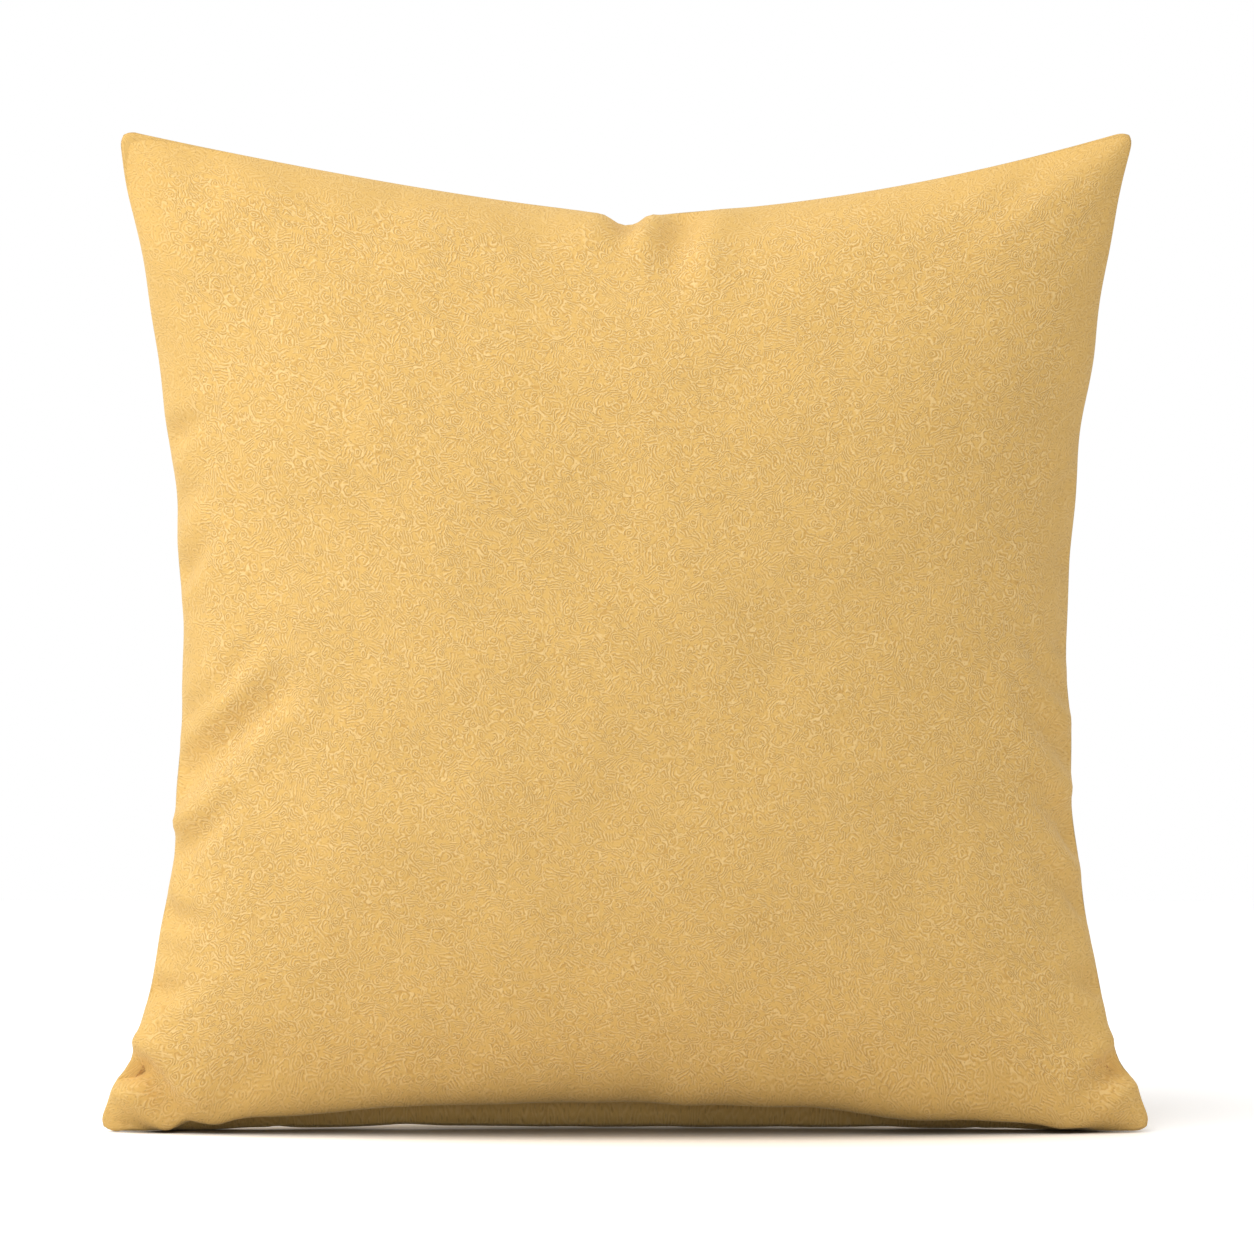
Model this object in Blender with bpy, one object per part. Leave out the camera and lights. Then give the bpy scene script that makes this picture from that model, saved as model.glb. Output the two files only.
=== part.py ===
"""Throw pillow: a zipped two-panel cover round a sewn inner pad filled with fibre.

The pillow stands on its two lower corners. X runs along its width, Z up its height, and the front panel
faces -Y. The origin is on the ground midway between the lower corners. The edge where the panels meet
lies in the plane Y = 0. All lengths are in metres.
"""

import math

import bmesh
import bpy
from mathutils import Matrix, Vector

# Overall size of the filled pillow, to where its edges would meet if the corners weren't rounded
BOTTOM_WIDTH = 0.440
TOP_WIDTH = 0.428
HEIGHT = 0.420
DEPTH = 0.165

# Outline of the edge: a filled cover draws its edges in between the corners
SIDE_PULL_IN = 0.030
SIDE_CURVE = 2.2
TOP_PULL_IN = 0.033
TOP_CURVE = 1.3
BOTTOM_LIFT = 0.0117
EAR_LENGTH = 0.035
ZIP_TO_CORNER = 0.070
CORNER_RADIUS = 0.008

# Swell of each panel from the edge to the middle
EDGE_DEPTH = 0.012
SWELL_CURVE = 2.4
SWELL_FULLNESS = 0.62

# Cloth, seam and clearances
COVER_CLOTH = 0.0012
PAD_CLOTH = 0.0005
LAYER_GAP = 0.00035
CLEARANCE = 0.0003
SEAM_GAP = 0.0009
COVER_ALLOWANCE = 0.010
PAD_ALLOWANCE = 0.005
PAD_INSET = 0.016
FILLING_INSET = 0.024
THREAD = 0.0003
THREAD_INSET = 0.0018
OVERLOCK_REACH = 0.003

# Zip, set into the lower edge; its heights are above the edge line
HEM_THICKNESS = 0.0024
HEM_REACH = 0.0045
SLIT_WIDTH = 0.002
CHAIN_WIDTH = 0.0044
CHAIN_THICKNESS = 0.0018
CHAIN_HEIGHT = 0.0038
TOOTH_PITCH = 0.004
TOOTH_WIDTH = 0.0014
TOOTH_ROOT = 0.0012
TAPE_CLOTH = 0.0006
TAPE_SPREAD = 0.45
TAPE_OFFSET = 0.0007
ZIP_STITCH_SPREAD = 0.30
STOP_LENGTH = 0.003
STOP_WIDTH = 0.0017
TACK_LENGTH = 0.003
TACK_WIDTH = 0.006
TACK_THICKNESS = 0.0006

# Slider and pull tab
SLIDER_LENGTH = 0.009
SLIDER_WIDTH = 0.007
SLIDER_PLATE = 0.0008
SLIDER_TO_ZIP_END = 0.016
POST_LENGTH = 0.0018
POST_WIDTH = 0.0016
LUG_LENGTH = 0.0024
LUG_WIDTH = 0.0012
PIN_DIAMETER = 0.0007
PIN_DROP = 0.0012
PULL_LENGTH = 0.0095
PULL_WIDTH = 0.004
PULL_THICKNESS = 0.001
PULL_HEEL = 0.0006

# Labels and the hand-sewn closing of the pad
LABEL_CLOTH = 0.0003
COVER_LABEL_DROP = 0.020
PAD_LABEL_DROP = 0.018
LABEL_SPAN = (0.15, 0.80)
CLOSING_LENGTH = 0.060
CLOSING_STITCHES = 12
CLOSING_THREAD = 0.0005
CLOSING_SPREAD = 0.0012

# Each half of the net of lines that all layers share has this many even cells next to the middle
CENTRE_CELLS = 3
EDGE_LINE = 0.008

HALF_WIDTH = BOTTOM_WIDTH / 2
HALF_HEIGHT = HEIGHT / 2
EDGE_HALF = EDGE_DEPTH / 2
ZIP_HALF = HALF_WIDTH - ZIP_TO_CORNER
CORNER_CUT = CORNER_RADIUS * (1 - math.sqrt(0.5))
STATIONS = (0.0, EDGE_LINE, PAD_INSET, FILLING_INSET, EAR_LENGTH, ZIP_TO_CORNER)
PAD_DEPTH = COVER_CLOTH + LAYER_GAP
FILLING_DEPTH = PAD_DEPTH + PAD_CLOTH + LAYER_GAP
SLIDER_X = ZIP_HALF - SLIDER_TO_ZIP_END

CLOTH_COLOUR = (0.716, 0.456, 0.162)
THREAD_COLOUR = (0.520, 0.270, 0.070)
TAPE_COLOUR = (0.560, 0.330, 0.110)
TEETH_COLOUR = (0.480, 0.290, 0.100)
BRASS_COLOUR = (0.610, 0.430, 0.180)
PAD_COLOUR = (0.820, 0.810, 0.780)
LABEL_COLOUR = (0.860, 0.850, 0.820)


def net_lines(half):
    """Line positions from -half to half: the stations in from each edge, then even cells to the middle."""
    last = half - STATIONS[-1]
    side = [half - station for station in STATIONS]
    side += [last * (1 - step / CENTRE_CELLS) for step in range(1, CENTRE_CELLS + 1)]
    return [-value for value in side[:-1]] + side[::-1]


COLUMNS = net_lines(HALF_WIDTH)
ROWS = net_lines(HALF_HEIGHT)


def smooth_step(value):
    value = min(max(value, 0.0), 1.0)
    return value * value * (3 - 2 * value)


def upper_edge(across):
    return HEIGHT - TOP_PULL_IN * (1 - abs(across) ** TOP_CURVE)


def lower_edge(across):
    """Straight along the zip, then down to the ground at each corner."""
    ear_start = HALF_WIDTH - EAR_LENGTH
    return BOTTOM_LIFT * smooth_step((ear_start - abs(across) * HALF_WIDTH) / (ear_start - ZIP_HALF))


def on_side(column):
    return math.isclose(abs(column), HALF_WIDTH)


def on_end(row):
    return math.isclose(abs(row), HALF_HEIGHT)


def flat_point(column, row):
    """(x, z) of a point of the net in the plane of the edge."""
    across = column / HALF_WIDTH
    up = (row / HALF_HEIGHT + 1) / 2
    half_width = (BOTTOM_WIDTH * (1 - up) + TOP_WIDTH * up) / 2
    half_width -= SIDE_PULL_IN * (1 - abs(2 * up - 1) ** SIDE_CURVE)
    x = across * half_width
    z = lower_edge(across) * (1 - up) + upper_edge(across) * up
    if on_side(column) and on_end(row):
        x -= math.copysign(CORNER_CUT, column)
        z -= math.copysign(CORNER_CUT, row)
    return x, z


def swell(share):
    return max(1 - min(abs(share), 1.0) ** SWELL_CURVE, 0.0) ** SWELL_FULLNESS


def surface_point(column, row):
    """A point of the cover's outer surface at the front."""
    x, z = flat_point(column, row)
    half_depth = EDGE_HALF + (DEPTH / 2 - EDGE_HALF) * swell(column / HALF_WIDTH) * swell(row / HALF_HEIGHT)
    return Vector((x, -half_depth, z))


def inside_point(column, row, depth):
    """The same point, moved in through the cloth by depth."""
    step = 0.002
    along = surface_point(column + step, row) - surface_point(column - step, row)
    up = surface_point(column, row + step) - surface_point(column, row - step)
    return surface_point(column, row) - along.cross(up).normalized() * depth


def moved_in(point, column, row, inset, last_column, last_row):
    """A point of a layer's border moved in, in the plane of the edge, so that its border keeps its shape."""
    x, y, z = point
    if math.isclose(abs(column), last_column):
        x -= inset * math.copysign(1, column)
    else:
        x *= 1 - inset / last_column
    if math.isclose(abs(row), last_row):
        z -= inset * math.copysign(1, row)
    else:
        z = HALF_HEIGHT + (z - HALF_HEIGHT) * (1 - inset / last_row)
    return Vector((x, y, z))


def edge_point(column, row, inset, y):
    """A point at the cover's edge, in from the edge line by inset."""
    x, z = flat_point(column, row)
    return moved_in((x, y, z), column, row, inset, HALF_WIDTH, HALF_HEIGHT)


def pad_edge_point(column, row, inset, y):
    """A point at the pad's edge, in from the pad's outer wall by inset."""
    wall = inside_point(column, row, PAD_DEPTH)
    return moved_in((wall.x, y, wall.z), column, row, inset, HALF_WIDTH - PAD_INSET, HALF_HEIGHT - PAD_INSET)


def in_zip(column, row):
    return math.isclose(row, -HALF_HEIGHT) and abs(column) < ZIP_HALF + CLEARANCE


def material(name, colour, roughness, metallic=0.0):
    made = bpy.data.materials.new(name)
    made.use_nodes = True
    shader = made.node_tree.nodes["Principled BSDF"]
    shader.inputs["Base Color"].default_value = (*colour, 1.0)
    shader.inputs["Roughness"].default_value = roughness
    shader.inputs["Metallic"].default_value = metallic
    return made


def link(name, data, look, location=(0, 0, 0)):
    made = bpy.data.objects.new(name, data)
    made.location = location
    made.data.materials.append(material(name, *look))
    bpy.context.scene.collection.objects.link(made)
    return made


def solid(name, bm, look, location=(0, 0, 0), back=False):
    """The finished mesh as an object; back mirrors it from the front half to the back half."""
    if back:
        bmesh.ops.scale(bm, vec=(1, -1, 1), verts=bm.verts)
    bmesh.ops.recalc_face_normals(bm, faces=bm.faces)
    mesh = bpy.data.meshes.new(name)
    bm.to_mesh(mesh)
    bm.free()
    return link(name, mesh, look, location)


def box(name, low, high, look, location=(0, 0, 0)):
    bm = bmesh.new()
    size = Vector(high) - Vector(low)
    middle = (Vector(high) + Vector(low)) / 2
    bmesh.ops.create_cube(bm, size=1, matrix=Matrix.Translation(middle) @ Matrix.Diagonal((*size, 1)))
    return solid(name, bm, look, location)


def cylinder(name, radius, length, look, location):
    """A round bar along Y."""
    bm = bmesh.new()
    turn = Matrix.Rotation(math.pi / 2, 4, "X")
    bmesh.ops.create_cone(
        bm, cap_ends=True, segments=16, radius1=radius, radius2=radius, depth=length, matrix=turn
    )
    return solid(name, bm, look, location)


def loft(bm, sections):
    """A bar through the sections, each a list of as many points, closed at both ends."""
    corner = bm.verts.layers.int.new("corner")
    verts = [bm.verts.new(point) for point in sections[0]]
    for number, vert in enumerate(verts):
        vert[corner] = number
    end = bm.faces.new(verts)
    for section in sections[1:]:
        grown = bmesh.ops.extrude_face_region(bm, geom=[end, *end.edges, *end.verts])["geom"]
        end = next(piece for piece in grown if isinstance(piece, bmesh.types.BMFace))
        for vert in end.verts:
            vert.co = section[vert[corner]]


def thread(name, points, diameter, look):
    """A sewn thread as a thin tube along the points."""
    curve = bpy.data.curves.new(name, "CURVE")
    curve.dimensions = "3D"
    curve.bevel_depth = diameter / 2
    curve.bevel_resolution = 0
    curve.use_fill_caps = True
    spline = curve.splines.new("POLY")
    spline.points.add(len(points) - 1)
    for place, point in zip(spline.points, points):
        place.co = (*point, 1)
    return link(name, curve, look)


def cut(target, tool, operation):
    """Applies a tool object to a target, and keeps the tool out of the model."""
    tool.hide_render = True
    tool.display_type = "WIRE"
    step = target.modifiers.new(tool.name, "BOOLEAN")
    step.operation = operation
    step.object = tool


def sheet(bm, columns, rows, place):
    """A net of triangles over the lines. Returns its border edges and the layers of its points' lines."""
    column_of = bm.verts.layers.int.get("column") or bm.verts.layers.int.new("column")
    row_of = bm.verts.layers.int.get("row") or bm.verts.layers.int.new("row")
    across, up = len(columns) - 1, len(rows) - 1
    made = bmesh.ops.create_grid(bm, x_segments=across, y_segments=up, size=1)["verts"]
    for vert in made:
        vert[column_of] = round((vert.co.x + 1) / 2 * across)
        vert[row_of] = round((vert.co.y + 1) / 2 * up)
        vert.co = place(columns[vert[column_of]], rows[vert[row_of]])
    faces = list({face for vert in made for face in vert.link_faces})
    bmesh.ops.triangulate(bm, faces=faces, quad_method="FIXED")
    edges = {edge for vert in made for edge in vert.link_edges}
    return [edge for edge in edges if edge.is_boundary], column_of, row_of


def shell(columns, rows, outer, inner, rings):
    """A cloth half: an outer and an inner sheet, joined by rings of points that run round its border."""
    bm = bmesh.new()
    border, column_of, row_of = sheet(bm, columns, rows, outer)
    for ring in rings:
        grown = bmesh.ops.extrude_edge_only(bm, edges=border)["geom"]
        border = [piece for piece in grown if isinstance(piece, bmesh.types.BMEdge)]
        for vert in [piece for piece in grown if isinstance(piece, bmesh.types.BMVert)]:
            vert.co = ring(columns[vert[column_of]], rows[vert[row_of]])
    sheet(bm, columns, rows, inner)
    bmesh.ops.remove_doubles(bm, verts=bm.verts, dist=1e-6)
    return bm


# Where a panel's inner face ends, about one cloth in from its outer face on any slope
INNER_RIM = (COVER_CLOTH * 0.75, EDGE_HALF - COVER_CLOTH * 0.65)
SEAM_PROFILE = (
    (0.0, SEAM_GAP / 2),
    (COVER_ALLOWANCE, SEAM_GAP / 2),
    (COVER_ALLOWANCE, SEAM_GAP / 2 + COVER_CLOTH),
    (COVER_CLOTH, SEAM_GAP / 2 + COVER_CLOTH),
    INNER_RIM,
)
HEM_PROFILE = (
    (0.0, SLIT_WIDTH / 2),
    (HEM_THICKNESS, SLIT_WIDTH / 2),
    (HEM_THICKNESS, HEM_REACH),
    (COVER_CLOTH, HEM_REACH + CLEARANCE),
    INNER_RIM,
)


def cover_ring(number):
    """The border of a cover panel at one step of its profile: a seam allowance, or the zip's folded hem."""

    def place(column, row):
        profile = HEM_PROFILE if in_zip(column, row) else SEAM_PROFILE
        inset, half_gap = profile[number]
        return edge_point(column, row, inset, -half_gap)

    return place


def cover_inner(column, row):
    if on_side(column) or on_end(row):
        return cover_ring(len(SEAM_PROFILE) - 1)(column, row)
    return inside_point(column, row, COVER_CLOTH)


def cover_panel(name, back):
    rings = [cover_ring(number) for number in range(len(SEAM_PROFILE))]
    bm = shell(COLUMNS, ROWS, surface_point, cover_inner, rings)
    return solid(name, bm, (CLOTH_COLOUR, 0.85), back=back)


def lines_inside(lines, inset):
    last = lines[-1] - inset
    return [line for line in lines if abs(line) < last + CLEARANCE]


PAD_COLUMNS = lines_inside(COLUMNS, PAD_INSET)
PAD_ROWS = lines_inside(ROWS, PAD_INSET)
PAD_PROFILE = (
    (0.0, SEAM_GAP / 2),
    (PAD_ALLOWANCE, SEAM_GAP / 2),
    (PAD_ALLOWANCE, SEAM_GAP / 2 + PAD_CLOTH),
    (PAD_CLOTH, SEAM_GAP / 2 + PAD_CLOTH),
)


def pad_ring(inset, half_gap):
    def place(column, row):
        return pad_edge_point(column, row, inset, -half_gap)

    return place


def pad_outer(column, row):
    return inside_point(column, row, PAD_DEPTH)


def pad_inner(column, row):
    last_column, last_row = PAD_COLUMNS[-1], PAD_ROWS[-1]
    if math.isclose(abs(column), last_column) or math.isclose(abs(row), last_row):
        wall = pad_edge_point(column, row, PAD_CLOTH, 0)
        return Vector((wall.x, pad_outer(column, row).y + PAD_CLOTH, wall.z))
    return inside_point(column, row, PAD_DEPTH + PAD_CLOTH)


def pad_shell(name, back):
    rings = [pad_ring(*step) for step in PAD_PROFILE] + [pad_inner]
    bm = shell(PAD_COLUMNS, PAD_ROWS, pad_outer, pad_inner, rings)
    return solid(name, bm, (PAD_COLOUR, 0.9), back=back)


def filling():
    """The fibre filling, one solid body inside the pad."""
    columns = lines_inside(COLUMNS, FILLING_INSET)
    rows = lines_inside(ROWS, FILLING_INSET)

    def front(column, row):
        return inside_point(column, row, FILLING_DEPTH)

    def rear(column, row):
        point = front(column, row)
        return Vector((point.x, -point.y, point.z))

    return solid("fibre_filling", shell(columns, rows, front, rear, [rear]), (PAD_COLOUR, 1.0))


def seam_route(columns, rows, start_column):
    """Line positions round the border from the lower left, up, across the top and down to the lower right."""
    lower = [line for line in columns if line < start_column + CLEARANCE]
    route = [(line, rows[0]) for line in reversed(lower)]
    route += [(columns[0], line) for line in rows[1:]]
    route += [(line, rows[-1]) for line in columns[1:]]
    route += [(columns[-1], line) for line in reversed(rows[:-1])]
    route += [(-line, rows[0]) for line in lower[1:]]
    return route


def cover_seams():
    """The stitch line of the panels, and the overlocked strip that binds their allowances."""
    route = seam_route(COLUMNS, ROWS, -HALF_WIDTH + EAR_LENGTH)
    stitch = [edge_point(*place, THREAD_INSET, 0) for place in route]
    thread("cover_seam_thread", stitch, THREAD, (THREAD_COLOUR, 0.8))
    inner_half = SEAM_GAP / 2 + COVER_CLOTH + CLEARANCE
    outer_half = inner_half + THREAD
    start = COVER_ALLOWANCE - OVERLOCK_REACH
    inner_end = COVER_ALLOWANCE + CLEARANCE
    outer_end = inner_end + THREAD
    profile = (
        (start, -outer_half),
        (outer_end, -outer_half),
        (outer_end, outer_half),
        (start, outer_half),
        (start, inner_half),
        (inner_end, inner_half),
        (inner_end, -inner_half),
        (start, -inner_half),
    )
    bm = bmesh.new()
    loft(bm, [[edge_point(*place, *step) for step in profile] for place in route])
    solid("cover_overlock", bm, (THREAD_COLOUR, 0.9))


def pad_seams():
    """The pad's machine-sewn stitch line, and the hand-sewn ladder that closes its filling hole."""
    route = seam_route(PAD_COLUMNS, PAD_ROWS, -ZIP_HALF + CLEARANCE)
    stitch = [pad_edge_point(*place, THREAD_INSET, 0) for place in route]
    thread("pad_seam_thread", stitch, THREAD, (PAD_COLOUR, 0.8))
    below = -(CLEARANCE + CLOSING_THREAD)
    middle = pad_edge_point(0, PAD_ROWS[0], below, 0)
    steps = [
        (
            CLOSING_LENGTH * (number / CLOSING_STITCHES - 0.5),
            CLOSING_SPREAD * (-1) ** number,
            middle.z,
        )
        for number in range(CLOSING_STITCHES + 1)
    ]
    thread("pad_closing_stitch", steps, CLOSING_THREAD, (PAD_COLOUR, 0.8))


def tape_sections(spread, offset, thickness):
    """The zip tape's cross-sections: flat beside the teeth, then up along the panel's inner face."""
    low = CHAIN_HEIGHT + (CHAIN_THICKNESS - TAPE_CLOTH) / 2
    high = low + TAPE_CLOTH
    inner_edge = CHAIN_WIDTH / 2 + CLEARANCE
    bend = HEM_REACH
    sections = []
    for column in [line for line in COLUMNS if abs(line) < ZIP_HALF + CLEARANCE]:
        start = cover_inner(column, ROWS[0])
        rise = cover_inner(column, ROWS[1]) - start
        away = Vector((0, rise.z, -rise.y)).normalized()
        outer_end = start + rise * spread + away * offset
        sections.append(
            [
                edge_point(column, ROWS[0], low, -inner_edge),
                edge_point(column, ROWS[0], high, -inner_edge),
                edge_point(column, ROWS[0], high, -bend),
                outer_end + away * thickness,
                outer_end,
                edge_point(column, ROWS[0], low, -bend),
            ]
        )
    return sections


def zip_tape(name, back):
    bm = bmesh.new()
    loft(bm, tape_sections(TAPE_SPREAD, TAPE_OFFSET, TAPE_CLOTH))
    return solid(name, bm, (TAPE_COLOUR, 0.9), back=back)


def zip_stitch(name, back):
    """The row of stitching that holds the tape to the panel, on the tape's inner face."""
    sections = tape_sections(TAPE_SPREAD, TAPE_OFFSET, TAPE_CLOTH)
    points = []
    for section in sections:
        run = section[3] - section[2]
        away = Vector((0, run.z, -run.y)).normalized()
        points.append(section[2] + run * (1 - ZIP_STITCH_SPREAD) + away * (THREAD / 2 + CLEARANCE))
    if back:
        points = [Vector((point.x, -point.y, point.z)) for point in points]
    return thread(name, points, THREAD, (THREAD_COLOUR, 0.8))


CHAIN_END = SLIDER_X + SLIDER_LENGTH / 2 - POST_LENGTH - 2 * CLEARANCE
CHAIN_START = -ZIP_HALF + TACK_LENGTH + 2 * STOP_LENGTH


def zip_teeth(name, first_tooth, back):
    """One row of teeth on its spine, a comb that meshes with the other row."""
    root = CHAIN_WIDTH / 2 - TOOTH_ROOT
    tip = root - CLEARANCE
    outline = [(CHAIN_END, -CHAIN_WIDTH / 2), (CHAIN_START, -CHAIN_WIDTH / 2), (CHAIN_START, -root)]
    teeth = int((CHAIN_END - CHAIN_START - first_tooth) / TOOTH_PITCH)
    for number in range(teeth):
        left = CHAIN_START + first_tooth + number * TOOTH_PITCH
        right = left + TOOTH_WIDTH
        outline += [(left, -root), (left, tip), (right, tip), (right, -root)]
    outline.append((CHAIN_END, -root))
    bm = bmesh.new()
    low = BOTTOM_LIFT + CHAIN_HEIGHT
    loft(bm, [[(x, y, z) for x, y in outline] for z in (low, low + CHAIN_THICKNESS)])
    return solid(name, bm, (TEETH_COLOUR, 0.45), back=back)


def zip_stop(name, left, back=False, whole=False):
    """A stop crimped on the tape's edge; the bottom stop spans both tapes."""
    low = BOTTOM_LIFT + CHAIN_HEIGHT
    outer = CHAIN_WIDTH / 2
    inner = -outer if whole else outer - STOP_WIDTH
    sign = 1 if back else -1
    near, far = sorted((sign * inner, sign * outer))
    place = (left, near, low), (left + STOP_LENGTH, far, low + CHAIN_THICKNESS)
    return box(name, *place, (BRASS_COLOUR, 0.35, 1.0))


def zip_stops():
    top = SLIDER_X + SLIDER_LENGTH / 2 + CLEARANCE
    zip_stop("zip_top_stop_front", top)
    zip_stop("zip_top_stop_back", top, back=True)
    zip_stop("zip_bottom_stop", CHAIN_START - CLEARANCE - STOP_LENGTH, whole=True)


def zip_end_tack(name, left):
    """A dense bar of stitches across the slit, outside the zip's end."""
    high = BOTTOM_LIFT - CLEARANCE
    low = high - TACK_THICKNESS
    place = (left, -TACK_WIDTH / 2, low), (left + TACK_LENGTH, TACK_WIDTH / 2, high)
    return box(name, *place, (THREAD_COLOUR, 0.8))


def zip_slider():
    """Two plates on a post, round the chain, with a lug through the slit that carries the pull tab."""
    place = (SLIDER_X, 0, BOTTOM_LIFT)
    look = (BRASS_COLOUR, 0.3, 1.0)
    chain_top = CHAIN_HEIGHT + CHAIN_THICKNESS
    low = CHAIN_HEIGHT - CLEARANCE - SLIDER_PLATE
    high = chain_top + CLEARANCE + SLIDER_PLATE
    end, side = SLIDER_LENGTH / 2, SLIDER_WIDTH / 2
    channel = CHAIN_WIDTH / 2 + CLEARANCE
    middle = (CHAIN_HEIGHT + chain_top) / 2
    slot = TAPE_CLOTH / 2 + CLEARANCE
    inner_low, inner_high = low + SLIDER_PLATE, high - SLIDER_PLATE
    half_plate = SLIDER_PLATE / 2
    lug_low = -PIN_DROP - PIN_DIAMETER / 2 - 2 * CLEARANCE
    body = box("zip_slider", (-end, -side, low), (end, side, high), look, place)
    shapes = (
        ("chain_channel", "DIFFERENCE", (-2 * end, -channel, inner_low), (2 * end, channel, inner_high)),
        ("tape_slot", "DIFFERENCE", (-2 * end, -2 * side, middle - slot), (2 * end, 2 * side, middle + slot)),
        (
            "slider_post",
            "UNION",
            (end - POST_LENGTH, -POST_WIDTH / 2, inner_low - half_plate),
            (end - CLEARANCE, POST_WIDTH / 2, inner_high + half_plate),
        ),
        (
            "slider_lug",
            "UNION",
            (-LUG_LENGTH / 2, -LUG_WIDTH / 2, lug_low),
            (LUG_LENGTH / 2, LUG_WIDTH / 2, low + half_plate),
        ),
    )
    for name, operation, first, last in shapes:
        cut(body, box(name, first, last, look, place), operation)
    hole_place = (SLIDER_X, 0, BOTTOM_LIFT - PIN_DROP)
    hole = cylinder("lug_hole", PIN_DIAMETER / 2 + CLEARANCE, 2 * SLIDER_WIDTH, look, hole_place)
    cut(body, hole, "DIFFERENCE")


def zip_pull():
    """The pull tab, laid back along the closed teeth; its pin turns in the slider's lug."""
    place = (SLIDER_X, 0, BOTTOM_LIFT - PIN_DROP)
    look = (BRASS_COLOUR, 0.3, 1.0)
    side, half = PULL_WIDTH / 2, PULL_THICKNESS / 2
    tab = box("zip_pull", (-PULL_LENGTH, -side, -half), (PULL_HEEL, side, half), look, place)
    slot_half = LUG_WIDTH / 2 + CLEARANCE
    slot_end = math.hypot(LUG_LENGTH / 2, PIN_DIAMETER / 2 + 2 * CLEARANCE) + CLEARANCE
    slot_corners = (-slot_end, -slot_half, -2 * half), (2 * PULL_HEEL, slot_half, 2 * half)
    cut(tab, box("pull_slot", *slot_corners, look, place), "DIFFERENCE")
    pin = cylinder("pull_pin", PIN_DIAMETER / 2, PULL_WIDTH - 2 * CLEARANCE, look, place)
    cut(tab, pin, "UNION")


def label_rows():
    """The two net lines of the cell just above the middle, where the labels are sewn in."""
    middle = len(ROWS) // 2
    return ROWS[middle], ROWS[middle + 1]


def cover_label():
    """A folded label caught in the right side seam: beside the allowance, then along the pad's wall."""
    start = SEAM_GAP / 2 + COVER_CLOTH + 2 * CLEARANCE + THREAD
    seam_ends = [edge_point(COLUMNS[-1], row, 0, 0) for row in label_rows()]
    wall_ends = [pad_edge_point(PAD_COLUMNS[-1], row, 0, 0) for row in label_rows()]
    sections = []
    for share in LABEL_SPAN:
        seam = seam_ends[0].lerp(seam_ends[1], share)
        wall = wall_ends[0].lerp(wall_ends[1], share)
        fold = wall.x + 2 * CLEARANCE
        profile = (
            (seam.x - 2 * COVER_CLOTH, -start),
            (fold, -start),
            (fold, -start - COVER_LABEL_DROP),
            (fold + LABEL_CLOTH, -start - COVER_LABEL_DROP),
            (fold + LABEL_CLOTH, -start - LABEL_CLOTH),
            (seam.x - 2 * COVER_CLOTH, -start - LABEL_CLOTH),
        )
        sections.append([(x, y, seam.z) for x, y in profile])
    bm = bmesh.new()
    loft(bm, sections)
    solid("care_label", bm, (LABEL_COLOUR, 0.5))


def pad_label():
    """A flat label sewn into the pad's left side seam, at the back."""
    wall_ends = [pad_edge_point(PAD_COLUMNS[0], row, 0, 0) for row in label_rows()]
    start = SEAM_GAP / 2
    sections = []
    for share in LABEL_SPAN:
        wall = wall_ends[0].lerp(wall_ends[1], share)
        near, far = wall.x - CLEARANCE, wall.x - CLEARANCE - LABEL_CLOTH
        profile = ((near, start), (near, start + PAD_LABEL_DROP), (far, start + PAD_LABEL_DROP), (far, start))
        sections.append([(x, y, wall.z) for x, y in profile])
    bm = bmesh.new()
    loft(bm, sections)
    solid("pad_care_label", bm, (LABEL_COLOUR, 0.5))


def build_cover():
    cover_panel("cover_front", back=False)
    cover_panel("cover_back", back=True)
    cover_seams()
    cover_label()


def build_zip():
    zip_tape("zip_tape_front", back=False)
    zip_tape("zip_tape_back", back=True)
    zip_teeth("zip_teeth_front", TOOTH_WIDTH, back=False)
    zip_teeth("zip_teeth_back", TOOTH_WIDTH + TOOTH_PITCH / 2, back=True)
    zip_stitch("zip_stitch_front", back=False)
    zip_stitch("zip_stitch_back", back=True)
    zip_stops()
    zip_end_tack("zip_end_tack_left", -ZIP_HALF + CLEARANCE)
    zip_end_tack("zip_end_tack_right", ZIP_HALF - CLEARANCE - TACK_LENGTH)
    zip_slider()
    zip_pull()


def build_pad():
    pad_shell("pad_front_shell", back=False)
    pad_shell("pad_back_shell", back=True)
    pad_seams()
    pad_label()
    filling()


def main():
    for old in list(bpy.data.objects):
        bpy.data.objects.remove(old, do_unlink=True)
    build_cover()
    build_zip()
    build_pad()


main()
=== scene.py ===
"""Throw pillow: the looks of its soft cover, its zip and its inner pad, built round the packed frame.

The pillow stands on its two lower corners. X runs along its width, Z up its height, and the front panel
faces -Y. The edge where the panels meet lies in the plane Y = 0. All lengths are in metres.

Every soft layer is worked out on one net of lines. A point of the net has a place across, from -1 at the
left edge to 1 at the right one, and a place up, from -1 at the lower edge to 1 at the upper one.
"""

import math

import bmesh
import bpy
import numpy as np
from bpy.props import FloatProperty, FloatVectorProperty, PointerProperty
from mathutils import Matrix, Vector


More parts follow.
